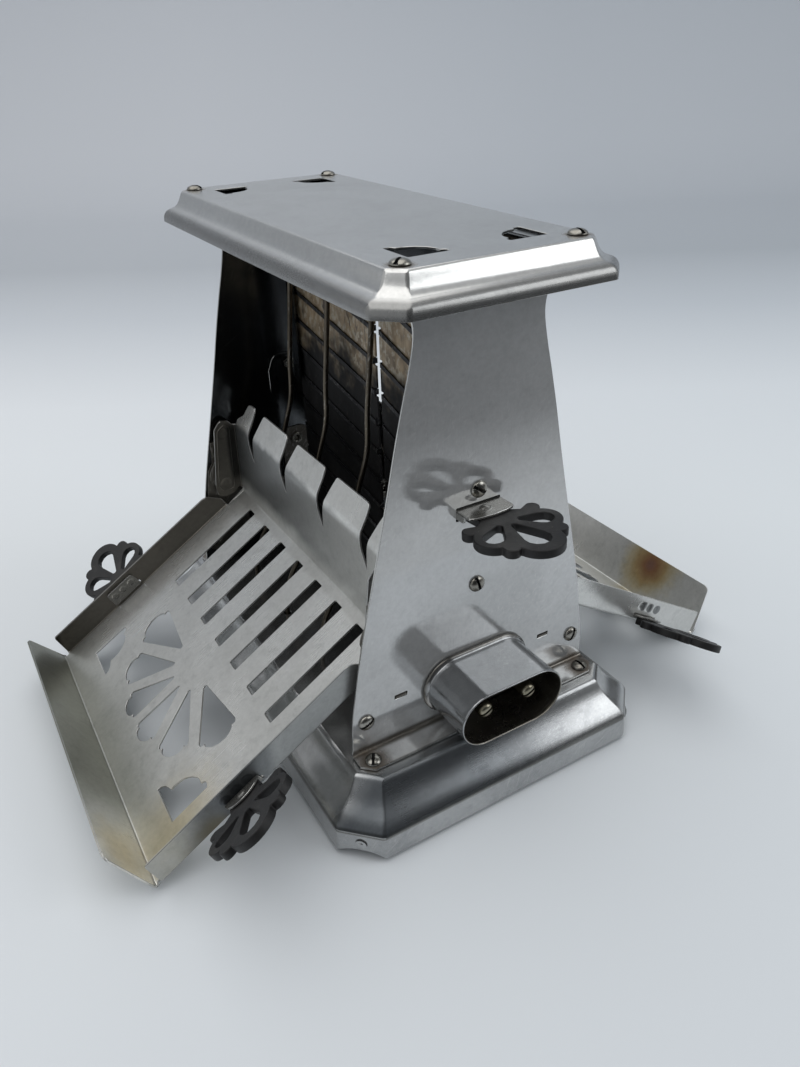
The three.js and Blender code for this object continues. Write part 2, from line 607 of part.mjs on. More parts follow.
function doorTray(seats) {
  const section = doorSection();
  const [lipEdge, , heel, tabCrease, tip] = section;
  const body = alongY(bentSheet(section), -DOOR.halfY, DOOR.halfY);
  const frame = panelFrame();
  const through = (shape) => prism(shape, -4, 3, frame);

  const slots = Array.from({ length: SLOTS.count }, (_, k) => {
    const y = (k - (SLOTS.count - 1) / 2) * SLOTS.pitch;
    return through(box2(SLOTS.from, SLOTS.to, y - SLOTS.width / 2, y + SLOTS.width / 2));
  });
  const corners = [-1, 1].map((side) => through(outline([
    [14.3, side * 56.1], [31, side * 55.8], [30, side * 51], [25.8, side * 45],
    [18.4, side * 42.2], [14.3, side * 39],
  ])));

  // The tabs stand either side of finger slots that let the guard wires through.
  const fingers = [-WIRE.outer, -WIRE.inner, WIRE.inner, WIRE.outer].map((y) => alongX(outline([
    [y, 85.8], [y + 1.9, 87.4], [y + 2.7, 97, 2], [y + 4.2, 112], [y - 4.2, 112],
    [y - 2.7, 97, 2], [y - 1.9, 87.4],
  ]), heel[0] - 3, tip[0] + 4));
  const shoulders = [-1, 1].map((side) => alongX(outline([
    [side * 64, 112], [side * 66, 104, 2], [side * 71, 100.6], [side * 80, 100.6], [side * 80, 112],
  ]), heel[0] - 3, tip[0] + 4));

  // The lip narrows towards its free edge.
  const lipEnds = [-1, 1].map((side) => alongX(outline([
    [side * DOOR.halfY, LIP_CREASE.z + 1], [side * (DOOR.halfY + 5), LIP_CREASE.z + 1],
    [side * (DOOR.halfY + 5), lipEdge[1] + 2], [side * 68.2, lipEdge[1] + 2],
  ]), lipEdge[0] - 3, LIP_CREASE.x));

  const flange = outline([
    [2.7, -0.4], [103.5, -0.4], [103.5, 4, 3], [99, DOOR.flange, 5], [4, DOOR.flange, 1],
  ]);
  const upright = frame.clone().multiply(frameAt([1, 0, 0], [0, 0, 1], [0, -1, 0]));
  const flanges = [-1, 1].map((side) => {
    const [from, to] = side < 0 ? [DOOR.halfY - SHEET, DOOR.halfY] : [-DOOR.halfY, SHEET - DOOR.halfY];
    const { along } = side < 0 ? seats.a : seats.b;
    const window = box2(along - 8, along + 8, HANDLE.foot - 0.05, HANDLE.foot + 1.45);
    return prism(flange, from, to, upright).subtract(prism(window, from - 1, to + 1, upright));
  });

  // An ear at each end of the riser, turned towards the bread, carries the hinge strap.
  const ears = [-1, 1].map((side) => {
    const [from, to] = [DOOR.halfY, DOOR.halfY - SHEET].map((y) => side * y).sort((a, b) => a - b);
    return alongY(outline([
      [heel[0] + 0.4, heel[1] + 2], [tabCrease[0] + 0.4, 100.6], [-37.4, 101, 3], [-40.5, 97, 3],
      [-43.5, 70, 2], [-43.2, 64, 2], [-39.3, 62.8, 2], [-35, 63.4],
    ]), from, to);
  });
  return cut(join([body, ...flanges, ...ears]), [
    ...slots, ...corners, ...petals().map(through), ...fingers, ...shoulders, ...lipEnds,
  ]);
}

// A strap welded to the outside of an ear, with the stub pin that the door turns on.
function hingeStrap(side) {
  const [from, to] = [DOOR.halfY + GAP, 74.3].map((y) => side * y).sort((a, b) => a - b);
  const strap = outline([
    [-31.5, 98, 2], [-37.6, 99.5, 3], [-40.4, 95, 3], [-41.6, 82], [-45.2, 76, 2], [-46, 72, 2],
    [-44, 69.6, 2], [-38, 66], [-32, 67.5, 2],
  ]);
  const stub = rod(PIVOT.pin / 2, 73.6 - END.face, 76 - END.face, 10);
  const pin = placed(stub, outOfEnd(side, PIVOT.x, PIVOT.z));
  return alongY(strap, from, to).add(pin);
}

function door(name, turn) {
  const group = new THREE.Group();
  group.rotation.z = turn;
  group.add(mesh(`${name}_door_tray`, doorTray(DOOR_HANDLES[name]), FINISH.door));
  for (const [end, side] of [['a', -1], ['b', 1]]) {
    const seat = DOOR_HANDLES[name][end];
    const twist = new THREE.Matrix4().makeRotationZ(rad(seat.twist));
    const frame = doorHandleFoot(side, seat).multiply(bentUp(seat)).multiply(twist);
    group.add(mesh(`${name}_door_hinge_strap_${end}`, hingeStrap(side), FINISH.dark));
    group.add(mesh(`${name}_door_handle_${end}`, placed(fanHandle(), frame), FINISH.fibre));
    group.add(mesh(`${name}_door_handle_bracket_${end}`, doorHandleBracket(side, seat), FINISH.body));
  }
  return group;
}

// ---------------------------------------------------------------- assembly

const toaster = new THREE.Group();
const add = (name, shape, look) => toaster.add(mesh(name, shape, look));

add('base_shell', baseShell(), FINISH.body);
add('base_plate', basePlate(), FINISH.dark);
add('top_cover', topCover(), FINISH.body);

for (const [end, side] of [['inlet', -1], ['rear', 1]]) {
  add(`end_plate_${end}`, endPlate(side), FINISH.bright);
  add(`hinge_bracket_${end}`, hingeBracket(side), FINISH.body);
  add(`end_handle_bracket_${end}`, endHandleBracket(side), FINISH.body);
  const twist = new THREE.Matrix4().makeRotationZ(side < 0 ? rad(END_HANDLE.twist) : 0);
  const frame = endHandleFrame(side).multiply(tilted(END_HANDLE.tilt)).multiply(twist);
  add(`end_handle_${end}`, placed(fanHandle(), frame), FINISH.fibre);
  faceScrewPlaces().forEach(([x, z], k) => {
    const seat = outOfEnd(side, x, z, END.face + GAP);
    add(`plate_screw_${end}_${k + 1}`, placed(screw(3.4, 25 + 40 * k), seat), FINISH.screw);
  });
}
flangeScrewPlaces().forEach(([x, y], k) => {
  const level = BASE.top + SHEET + 2 * GAP;
  add(`flange_screw_${k + 1}`, moved(screw(4, 35 * k), x, y, level), FINISH.screw);
});
coverScrewPlaces().forEach(([x, y], k) => {
  add(`cover_screw_${k + 1}`, moved(screw(4, 50 * k), x, y, COVER.top + GAP), FINISH.screw);
});

add('inlet_shroud', inletShroud(), FINISH.bright);
add('inlet_insulator', inletInsulator(), FINISH.ceramic);
for (const [end, side] of [['left', -1], ['right', 1]]) {
  const seat = outOfEnd(-1, side * INLET.pitch / 2, INLET.z + 0.7);
  add(`inlet_pin_${end}`, placed(inletPin(), seat), FINISH.brass);
  add(`lead_strip_${end}`, leadStrip(side), FINISH.brass);
  add(`guard_wire_${end}_front`, guardWire(side, -1), FINISH.dark);
  add(`guard_wire_${end}_rear`, guardWire(side, 1), FINISH.dark);
}
for (const [end, span] of Object.entries(CARDS)) {
  add(`mica_card_${end}`, micaCard(span), FINISH.mica);
  add(`heating_winding_${end}`, heatingWinding(span), FINISH.ribbon);
  add(`element_holder_${end}`, elementHolder(end === 'front' ? -1 : 1), FINISH.bright);
}
add('winding_link', windingLink(), FINISH.brass);
add('element_rail_top', elementRail(177, 184.6, 75.9, true), FINISH.body);
add('element_rail_bottom', elementRail(BASE.top + GAP, 35, 69, false), FINISH.body);

toaster.add(door('left', 0), door('right', Math.PI));

export default toaster;
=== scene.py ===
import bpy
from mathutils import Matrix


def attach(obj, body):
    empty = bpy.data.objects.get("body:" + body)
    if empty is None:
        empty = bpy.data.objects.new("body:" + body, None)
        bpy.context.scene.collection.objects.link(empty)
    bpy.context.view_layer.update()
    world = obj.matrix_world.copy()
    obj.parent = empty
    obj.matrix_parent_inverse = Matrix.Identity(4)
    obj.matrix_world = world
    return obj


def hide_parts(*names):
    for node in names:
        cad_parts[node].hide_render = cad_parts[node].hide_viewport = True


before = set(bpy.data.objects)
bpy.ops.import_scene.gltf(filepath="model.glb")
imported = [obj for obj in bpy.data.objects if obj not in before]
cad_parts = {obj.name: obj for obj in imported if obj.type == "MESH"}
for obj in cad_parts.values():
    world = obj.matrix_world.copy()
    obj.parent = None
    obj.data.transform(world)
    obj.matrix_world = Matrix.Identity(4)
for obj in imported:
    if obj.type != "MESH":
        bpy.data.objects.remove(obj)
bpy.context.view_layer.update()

# %% Tools of the trade
import math

import bmesh
import bpy
from mathutils import Matrix, Vector
from mathutils.geometry import delaunay_2d_cdt

MM = 0.001  # sizes are in millimetres where they don't say metres, and meshes are scaled by this
rad = math.radians
scene = bpy.context.scene
scene.view_settings.view_transform = "Standard"
print("Blender", bpy.app.version_string, "with one millimetre as", MM, "m")

# %% [markdown]
# ## The camera
#
# The camera comes first, because it decides which surfaces need the most care. It looks down
# over the near corner of the inlet end. A small roll is added last, about the camera's own
# axis.
# %% Camera
CAMERA = {"at": (-144.0, -274.5, 249.3), "azimuth": -29.9, "elevation": 30.83, "roll": -1.93,
          "lens": 28.09, "sensor": 36}  # millimetres and degrees


def make_camera():
    a, e = rad(CAMERA["azimuth"]), rad(CAMERA["elevation"])
    back = Vector((math.sin(a) * math.cos(e), -math.cos(a) * math.cos(e), math.sin(e)))
    turn = (-back).to_track_quat("-Z", "Y").to_matrix()
    turn = turn @ Matrix.Rotation(rad(CAMERA["roll"]), 3, "Z")
    data = bpy.data.cameras.new("camera")
    data.sensor_width, data.lens = CAMERA["sensor"], CAMERA["lens"]
    data.clip_start, data.clip_end = 0.01, 30  # metres
    camera = bpy.data.objects.new("camera", data)
    camera.matrix_world = Matrix.Translation(Vector(CAMERA["at"]) * MM) @ turn.to_4x4()
    scene.collection.objects.link(camera)
    scene.camera = camera
    return camera


print("camera stands at", tuple(round(v, 4) for v in make_camera().location))

# %% [markdown]
# ## Outlines
#
# Sheet metal starts as a flat blank, so most pieces here start as a flat outline. These
# helpers draw the outlines that a press tool would have: straight runs with round corners,
# circles, slots with round ends, drops, and smooth curves through a few points.
# %% Outline helpers
def rounded(corners, steps=4):
    """A closed outline through (u, v) corners, or (u, v, radius) where a corner is round."""
    loop = []
    for i, corner in enumerate(corners):
        here = Vector(corner[:2])
        radius = corner[2] if len(corner) > 2 else 0
        if not radius:
            loop.append(here)
            continue
        before, after = Vector(corners[i - 1][:2]), Vector(corners[(i + 1) % len(corners)][:2])
        came, leaves = (before - here).normalized(), (after - here).normalized()
        half = came.angle(leaves) / 2
        room = min((before - here).length, (after - here).length) / 2.02
        reach = min(radius / math.tan(half), room)
        size = reach * math.tan(half)
        centre = here + (came + leaves).normalized() * size / math.sin(half)
        start, end = here + came * reach - centre, here + leaves * reach - centre
        sweep = -start.angle_signed(end)
        for k in range(steps + 1):
            loop.append(centre + Matrix.Rotation(sweep * k / steps, 2) @ start)
    return loop


def around(u, v, radius, angle):
    """The point of a circle at an angle in radians."""
    return Vector((u + radius * math.cos(angle), v + radius * math.sin(angle)))


def circle(u, v, radius, count=16):
    return [around(u, v, radius, 2 * math.pi * k / count) for k in range(count)]


def obround(u, v, half_u, half_v, steps=12):
    """A slot with round ends, longer along u."""
    reach, loop = half_u - half_v, []
    for side in (1, -1):
        for k in range(steps + 1):
            t = math.pi * (k / steps - 0.5)
            across, along = half_v * math.sin(t), reach + half_v * math.cos(t)
            loop.append(Vector((u + side * along, v + side * across)))
    return loop


def teardrop(small, large, steps=7):
    """A drop from a small round end (u, v, radius) to a large one."""
    (u0, v0, r0), (u1, v1, r1) = small, large
    heading = math.atan2(v1 - v0, u1 - u0)
    lean = math.acos((r0 - r1) / math.hypot(u1 - u0, v1 - v0))
    loop = []
    for (u, v, r), start, sweep in (
        ((u1, v1, r1), heading - lean, 2 * lean),
        ((u0, v0, r0), heading + lean, 2 * math.pi - 2 * lean),
    ):
        for k in range(steps + 1):
            t = start + sweep * k / steps
            loop.append(around(u, v, r, t))
    return loop


def smooth_through(points, steps=4):
    """Points along a Catmull-Rom curve through every given point, flat or in space."""
    points = [Vector(p) for p in points]
    padded = [2 * points[0] - points[1], *points, 2 * points[-1] - points[-2]]
    path = []
    for a, b, c, d in zip(padded, padded[1:], padded[2:], padded[3:]):
        for k in range(steps):
            t = k / steps
            path.append(0.5 * (2 * b + (c - a) * t + (2 * a - 5 * b + 4 * c - d) * t**2
                               + (3 * b - a - 3 * c + d) * t**3))
    return [*path, points[-1]]


def box_outline(u0, u1, v0, v1, radius=0):
    return rounded([(u0, v0, radius), (u1, v0, radius), (u1, v1, radius), (u0, v1, radius)])


print("a slot outline has", len(obround(0, 0, 10, 5)), "points")

# %% [markdown]
# ## Blanks, and what folds them
#
# A blank could be filled by hand, but a Delaunay triangulation takes holes, fold lines and
# the rings round a weld dimple all at once, and keeps each as an edge. A fold line on both
# sides of a bend, with a few between, gives the bend vertices to turn on.
# %% Blank helpers
def is_inside(point, loop):
    """True if a point is inside a closed outline, by counting the edges to its right."""
    u, v = point
    inside = False
    for a, b in zip(loop, [*loop[1:], loop[0]]):
        if (a[1] > v) != (b[1] > v) and u < a[0] + (v - a[1]) / (b[1] - a[1]) * (b[0] - a[0]):
            inside = not inside
    return inside


DIMPLE_RINGS = (1.0, 0.82, 0.62, 0.4, 0.2)  # shares of a dimple's radius


def blank(outer, holes=(), folds=(), dimples=()):
    """Triangulates a flat blank. Folds are lines (start, end), dimples (u, v, radius, depth)."""
    points, edges = [], []

    def add_loop(loop):
        start = len(points)
        points.extend(Vector(p[:2]) for p in loop)
        edges.extend((start + i, start + (i + 1) % len(loop)) for i in range(len(loop)))

    for loop in (outer, *holes):
        add_loop(loop)
    for u, v, radius, _ in dimples:
        for share in DIMPLE_RINGS:
            add_loop(circle(u, v, radius * share))
    for start, end in folds:
        edges.append((len(points), len(points) + 1))
        points.extend((Vector(start), Vector(end)))
    flat, _, faces, *_ = delaunay_2d_cdt(points, edges, [], 0, 1e-4)
    kept = []
    for face in faces:
        centre = sum((flat[i] for i in face), Vector((0, 0))) / len(face)
        if is_inside(centre, outer) and not any(is_inside(centre, hole) for hole in holes):
            kept.append(tuple(face))
    used = sorted({i for face in kept for i in face})
    fresh = {old: new for new, old in enumerate(used)}
    return [flat[i] for i in used], [tuple(fresh[i] for i in face) for face in kept]


def dimple_depth(point, dimples):
    """How deep the dimples press at a point. Each has a flat floor and a round rim."""
    for u, v, radius, depth in dimples:
        share = (Vector(point[:2]) - Vector((u, v))).length / radius
        if share < 1:
            return depth * (1 - share**6) ** 2
    return 0.0


def backwards(faces):
    """The same faces, facing the other way."""
    return [face[::-1] for face in faces]


class FoldedPath:
    """The side view of a folded sheet: corner points, each with its own bend radius."""

    def __init__(self, corners, radii):
        self.corners = [Vector(c) for c in corners]
        self.radii = radii
        legs = [b - a for a, b in zip(self.corners, self.corners[1:])]
        self.headings = [math.atan2(leg.y, leg.x) for leg in legs]
        self.starts = [0.0]
        for leg in legs:
            self.starts.append(self.starts[-1] + leg.length)

    def turn(self, i):
        """The signed turn at inner corner i, and how far its bend reaches each way."""
        angle = self.headings[i] - self.headings[i - 1]
        angle = (angle + math.pi) % (2 * math.pi) - math.pi
        return angle, self.radii[i - 1] * math.tan(abs(angle) / 2)

    def straight(self, leg, distance):
        """A point on one leg, or on the leg run on past its ends, and its left normal."""
        t = self.headings[leg]
        along = Vector((math.cos(t), math.sin(t)))
        here = self.corners[leg] + along * (distance - self.starts[leg])
        return here, Vector((-along.y, along.x))

    def at(self, distance):
        """The point and left normal at a distance along the blank."""
        for i in range(1, len(self.corners) - 1):
            angle, reach = self.turn(i)
            off = distance - self.starts[i]
            if abs(off) < reach:
                start, normal = self.straight(i - 1, self.starts[i] - reach)
                side = math.copysign(self.radii[i - 1], angle)
                centre = start + normal * side
                t = self.headings[i - 1] + angle * (off / reach + 1) / 2
                normal = Vector((-math.sin(t), math.cos(t)))
                return centre - normal * side, normal
        leg = max(i for i in range(len(self.headings)) if distance >= self.starts[i] or i == 0)
        return self.straight(leg, distance)

    def fold_lines(self, low, high, steps=4):
        """Lines across the blank, from v = low to v = high, at both sides of every bend."""
        lines = []
        for i in range(1, len(self.corners) - 1):
            reach = self.turn(i)[1]
            for k in range(steps + 1):
                s = self.starts[i] + reach * (2 * k / steps - 1)
                lines.append(((s, low), (s, high)))
        return lines


def walk(start, legs):
    """The corners of a path from a start through (length, degrees) legs."""
    path = [Vector(start)]
    for length, degrees in legs:
        path.append(path[-1] + length * Vector((math.cos(rad(degrees)), math.sin(rad(degrees)))))
    return path


elbow = FoldedPath([(0, 0), (9, 0), (9, 9)], [2])
print("a right angle of radius 2 reaches", round(elbow.turn(1)[1], 3), "mm each way")

# %% [markdown]
# ## From a blank to a piece
#
# Solidify gives a sheet its thickness on the hidden side, and Bevel takes the sharpness off
# its cut edges. The bevel faces get the second material slot: on metal, because handling
# polishes the edges first, and on the fibre handles a darker copy of the fibre, which is
# painted shade on their sides. The modifiers are then made part of the mesh, so that nothing
# is left to change.
# %% Piece helpers
SHEET = 0.8  # thickness of every pressed sheet
SHARP = 38  # degrees: an edge that turns by more is bevelled, and shaded as an edge
CUT_EDGE = 0.1  # width of the bevel along a cut edge


def make_piece(name, points, faces, materials=(), edges=()):
    """A mesh object from points in millimetres."""
    mesh = bpy.data.meshes.new(name)
    mesh.from_pydata([Vector(p).to_3d() * MM for p in points], list(edges), faces)
    for material in materials:
        mesh.materials.append(material)
    piece = bpy.data.objects.new(name, mesh)
    scene.collection.objects.link(piece)
    return piece


def add_thickness(piece, thickness=SHEET):
    """Thickens a sheet behind its face. A third material, if there is one, coats its back."""
    solidify = piece.modifiers.new("thickness", "SOLIDIFY")
    solidify.thickness, solidify.offset = thickness * MM, -1
    solidify.use_even_offset = True
    if len(piece.data.materials) == 3:
        solidify.material_offset, solidify.material_offset_rim = 2, 1
    return piece


def soften_edges(piece, width=CUT_EDGE, segments=1, angle=SHARP):
    """Takes the sharpness off every edge that turns by more than an angle."""
    bevel = piece.modifiers.new("edges", "BEVEL")
    bevel.width, bevel.segments = width * MM, segments
    bevel.limit_method, bevel.angle_limit = "ANGLE", rad(angle)
    bevel.use_clamp_overlap = bevel.loop_slide = False
    bevel.material = min(1, len(piece.data.materials) - 1)
    return piece


def bake(piece):
    """Makes an object's modifiers part of its mesh."""
    bpy.context.view_layer.update()
    graph = bpy.context.evaluated_depsgraph_get()
    piece.data = bpy.data.meshes.new_from_object(piece.evaluated_get(graph))
    piece.modifiers.clear()
    return piece.data


def settle(piece, sharp=SHARP):
    """Bakes a piece and shades it smooth up to an angle, with the large faces kept level."""
    made = bake(piece)
    made.polygons.foreach_set("use_smooth", [True] * len(made.polygons))
    made.set_sharp_from_angle(angle=rad(sharp))
    level = piece.modifiers.new("level", "WEIGHTED_NORMAL")
    level.keep_sharp, level.weight = True, 50
    bake(piece)
    return piece


def join_pieces(name, pieces):
    """Joins settled pieces into one."""
    bpy.ops.object.select_all(action="DESELECT")
    for piece in pieces:
        piece.select_set(True)
    bpy.context.view_layer.objects.active = pieces[0]
    bpy.ops.object.join()
    pieces[0].name = pieces[0].data.name = name
    return pieces[0]


def fit(piece, body, slot, *replaced):
    """Fixes a finished piece to its body, and hides the frame nodes it stands for. Slot, the name
    of its finish, is not used.
    """
    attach(piece, body)
    if replaced:
        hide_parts(*replaced)
    return piece


print("piece helpers are ready")

# %% [markdown]
# ## The stage
#
# A pale sweep of paper makes the floor and the wall behind it. Its colour is painted lighter
# and darker with the distance from the front, and a little darker towards one side: painted
# shade, for the light that falls off across a real sweep. Metal shows what surrounds it, so
# two dark cards stand in front, as the dark room and whoever works in it would. Only glossy
# rays see them: they light nothing and cast no shadow.
# %% A wrapper for adding nodes
class Graph:
    """Adds nodes to a tree. A socket's value is a constant, or an output to link to it."""

    def __init__(self, tree):
        self.tree = tree
        self.column = 0

    def feed(self, node, sockets):
        for key, value in dict(sockets).items():
            if isinstance(value, bpy.types.NodeSocket):
                self.tree.links.new(value, node.inputs[key])
            else:
                node.inputs[key].default_value = value
        return node

    def add(self, kind, sockets=(), **settings):
        node = self.tree.nodes.new(kind)
        node.location = (self.column // 4 * 200, -(self.column % 4) * 260)
        self.column += 1
        for key, value in settings.items():
            setattr(node, key, value)
        return self.feed(node, sockets)

    def math(self, operation, a, b=0.0, c=0.0):
        return self.add("ShaderNodeMath", {0: a, 1: b, 2: c}, operation=operation).outputs[0]

    def vector(self, operation, a, b=(0, 0, 0)):
        node = self.add("ShaderNodeVectorMath", {0: a, 1: b}, operation=operation)
        return node.outputs["Value" if operation in ("LENGTH", "DOT_PRODUCT") else "Vector"]

    def noise(self, vector, scale, detail=2.0, roughness=0.5, distortion=0.0):
        sockets = {"Vector": vector, "Scale": scale, "Detail": detail, "Roughness": roughness,
                   "Distortion": distortion}
        return self.add("ShaderNodeTexNoise", sockets).outputs["Fac"]

    def band(self, value, low, high, start=0.0, end=1.0, shape="SMOOTHSTEP"):
        """Start where a value is low, end where it is high, and a smooth step between."""
        sockets = {"Value": value, "From Min": low, "From Max": high,
                   "To Min": start, "To Max": end}
        return self.add("ShaderNodeMapRange", sockets, interpolation_type=shape).outputs[0]

    def mix(self, factor, a, b, blend="MIX"):
        """Mixes two colours. A Mix node has sockets for each kind of value: 6 and 7 are colour."""
        sockets = {0: factor, 6: a, 7: b}
        return self.add("ShaderNodeMix", sockets, data_type="RGBA", blend_type=blend).outputs[2]

    def ramp(self, factor, stops):
        node = self.add("ShaderNodeValToRGB", {"Fac": factor})
        ends = node.color_ramp.elements
        while len(ends) < len(stops):
            ends.new(0.5)
        for element, (place, colour) in zip(ends, stops):
            element.position, element.color = place, colour
        return node.outputs["Color"]


def srgb(hex_colour):
    """A display colour such as 0x8a8c8e as the linear values that a shader wants."""
    channels = [(hex_colour >> shift & 255) / 255 for shift in (16, 8, 0)]
    return (*[c / 12.92 if c <= 0.04045 else ((c + 0.055) / 1.055) ** 2.4 for c in channels], 1.0)


def new_material(name):
    """An empty material, its graph, its Principled shader and its Object coordinates."""
    material = bpy.data.materials.new(name)
    material.use_nodes = True
    graph = Graph(material.node_tree)
    shader = material.node_tree.nodes["Principled BSDF"]
    place = graph.add("ShaderNodeTexCoord").outputs["Object"]
    return material, graph, shader, place


print("mid grey is", [round(c, 3) for c in srgb(0x808080)])

# %% The sweep, the dark cards, the lamps and the sky
SWEEP = {"near": -3.2, "bend": 1.15, "radius": 0.45, "top": 2.4, "half": 3.0}  # metres
SWEEP_PAINTED_SHADE = [(0.0, 0xD8DCE0), (0.2, 0xDFE3E7), (0.36, 0xE6EAED), (0.46, 0xE2E6EA),
                (0.58, 0xC9CED4), (0.7, 0xB6BBC1), (1.0, 0xC3C7CD)]  # from front to back


def make_strip(name, points, material):
    """A strip of paper over points that come in pairs, left and right. It is only scenery."""
    faces = [(k, k + 1, k + 3, k + 2) for k in range(0, len(points) - 2, 2)]
    strip = settle(make_piece(name, points, faces, [material]))
    return strip


def make_sweep(bend_steps=16):
    heading, side_view = rad(CAMERA["azimuth"]), [(SWEEP["near"], 0), (SWEEP["bend"], 0)]
    for k in range(1, bend_steps + 1):
        t = math.pi / 2 * k / bend_steps
        side_view.append((SWEEP["bend"] + SWEEP["radius"] * math.sin(t),
                          SWEEP["radius"] * (1 - math.cos(t))))
    side_view.append((side_view[-1][0], SWEEP["top"]))
    turn = Matrix.Rotation(heading, 4, "Z")
    points = [turn @ Vector((x, y, z)) / MM
              for y, z in side_view for x in (-SWEEP["half"], SWEEP["half"])]
    material, graph, shader, place = new_material("sweep_paper")
    depth = graph.vector("DOT_PRODUCT", place, (-math.sin(heading), math.cos(heading), 0))
    side = graph.vector("DOT_PRODUCT", place, (math.cos(heading), math.sin(heading), 0))
    colour = graph.ramp(graph.band(depth, -0.6, 1.4, shape="LINEAR"),
                        [(stop, srgb(shade)) for stop, shade in SWEEP_PAINTED_SHADE])
    # Painted shade: the sweep is a little darker towards one side.
    spread = graph.band(side, -0.35, 0.35, 0.0, 0.75, "LINEAR")
    graph.feed(shader, {"Base Color": graph.mix(spread, colour, srgb(0xEDF0F2), "MULTIPLY"),
                        "Roughness": 0.8, "Specular IOR Level": 0.1})
    return make_strip("sweep", points, material)


def make_dark_card(name, side_view, left, right, fade=(0.0, 0.01)):
    """A card bent along (distance in front, height) points, dark beyond the fade."""
    points = [Vector((x, -y, z)) / MM for y, z in side_view for x in (left, right)]
    material, graph, shader, place = new_material(f"{name}_paper")
    front = graph.vector("DOT_PRODUCT", place, (0, -1, 0))
    shade = graph.mix(graph.band(front, *fade), srgb(0xD4D8DB), srgb(0x2E3033))
    graph.feed(shader, {"Base Color": shade})
    card = make_strip(name, points, material)
    for ray in ("camera", "diffuse", "transmission", "volume_scatter", "shadow"):
        setattr(card, f"visible_{ray}", False)
    return card


def make_lamp(name, at, aim, size, watts, colour):
    """A rectangular lamp that faces a point. Places and sizes are in metres."""
    data = bpy.data.lights.new(name, "AREA")
    data.shape, data.size, data.size_y = "RECTANGLE", *size
    data.energy, data.color = watts, colour
    lamp = bpy.data.objects.new(name, data)
    lamp.location = at
    lamp.rotation_euler = (Vector(at) - Vector(aim)).to_track_quat("Z", "Y").to_euler()
    scene.collection.objects.link(lamp)
    return lamp


def make_sky(strength):
    world = bpy.data.worlds.new("studio")
    world.use_nodes = True
    scene.world = world
    sky = {"Color": (0.88, 0.90, 0.92, 1), "Strength": strength}
    Graph(world.node_tree).feed(world.node_tree.nodes["Background"], sky)
    return world


DARK_FLOOR = [(0.2, 0.004), (1.2, 0.004), (1.5, 0.12), (1.6, 0.4)]
DARK_FIGURE = [(0.78, 0.01), (0.84, 0.7), (0.92, 1.5)]
MIDDLE = (0, 0, 0.1)
make_sweep()
make_dark_card("dark_floor", DARK_FLOOR, -1.8, 2.2, (0.2, 0.36))
make_dark_card("dark_figure", DARK_FIGURE, -0.9, 0.42)
make_lamp("overhead_softbox", (-0.3, 0.2, 1.85), MIDDLE, (3.0, 2.3), 24, (1.0, 0.985, 0.965))
make_lamp("right_window", (1.28, -1.1, 1.12), MIDDLE, (1.1, 1.0), 7.0, (0.96, 0.98, 1.0))
make_sky(0.52)

# %% [markdown]
# ## Shared effects
#
# Old sheet aluminium is one metal with many histories: the mill's faint grain, hairline
# scratches from wiping, cloudy finger marks, tarnish where crumbs burned, straw and blue
# rings where it grew hot, brown grime round screws. Each of these is a node group here, so
# that every material can take as much of each as its own piece has had.
# %% Group helper
def new_group(name, inputs, outputs):
    """A shader node group. Inputs are (label, kind, value); outputs are (label, kind)."""
    tree = bpy.data.node_groups.new(name, "ShaderNodeTree")
    kinds = {"float": "NodeSocketFloat", "vector": "NodeSocketVector", "colour": "NodeSocketColor"}
    for label, kind, value in (("Place", "vector", (0, 0, 0)), *inputs):
        socket = tree.interface.new_socket(label, in_out="INPUT", socket_type=kinds[kind])
        socket.default_value = value
    for label, kind in outputs:
        tree.interface.new_socket(label, in_out="OUTPUT", socket_type=kinds[kind])
    graph = Graph(tree)
    return tree, graph, graph.add("NodeGroupInput").outputs, graph.add("NodeGroupOutput")


def use(graph, tree, **sockets):
    """Places a group in a material and returns its outputs. Its inputs are named in lower case."""
    node = graph.add("ShaderNodeGroup", node_tree=tree)
    return graph.feed(node, {key.capitalize(): value for key, value in sockets.items()}).outputs


print("group helpers are ready")

# %% Grain: the fine lines that rolling and polishing leave
def make_grain():
    stretch = ("Stretch", "vector", (60, 2600, 2600))
    tree, graph, source, sink = new_group("grain", [stretch], [("Height", "float")])
    stretched = graph.vector("MULTIPLY", source["Place"], source["Stretch"])
    graph.feed(sink, {"Height": graph.noise(stretched, 1.0, 3.0, 0.65)})
    return tree


GRAIN = make_grain()
print(GRAIN.name, "has", len(GRAIN.nodes), "nodes")

# %% Scratches: sparse hairlines in three directions
HAIR_TURNS = ((0.3, 0.5, 0.2), (1.4, -0.4, 1.1), (-0.7, 1.2, 2.3))


def make_scratches():
    inputs = [("Amount", "float", 0.5), ("Size", "float", 1.0)]
    tree, graph, source, sink = new_group("scratches", inputs, [("Mask", "float")])
    total = None
    for k, turn in enumerate(HAIR_TURNS):
        turned = graph.add("ShaderNodeMapping", {
            "Vector": source["Place"], "Rotation": turn, "Location": (0.1 * k, 0, 0),
        }).outputs[0]
        bend = graph.math("MULTIPLY", graph.noise(turned, 18.0, 1.0), 0.02)
        aside = graph.add("ShaderNodeCombineXYZ", {"Y": bend}).outputs[0]
        wavy = graph.vector("MULTIPLY", graph.vector("ADD", turned, aside), (12, 1300, 1300))
        hair = graph.noise(wavy, source["Size"], 0.0)
        low = graph.math("MULTIPLY_ADD", source["Amount"], -0.08, 0.79)
        one = graph.band(hair, low, graph.math("ADD", low, 0.035))
        total = one if total is None else graph.math("MAXIMUM", total, one)
    patchy = graph.band(graph.noise(source["Place"], 30.0, 2.0), 0.38, 0.6)
    graph.feed(sink, {"Mask": graph.math("MULTIPLY", total, patchy)})
    return tree


SCRATCHES = make_scratches()
print(SCRATCHES.name, "has", len(SCRATCHES.nodes), "nodes")

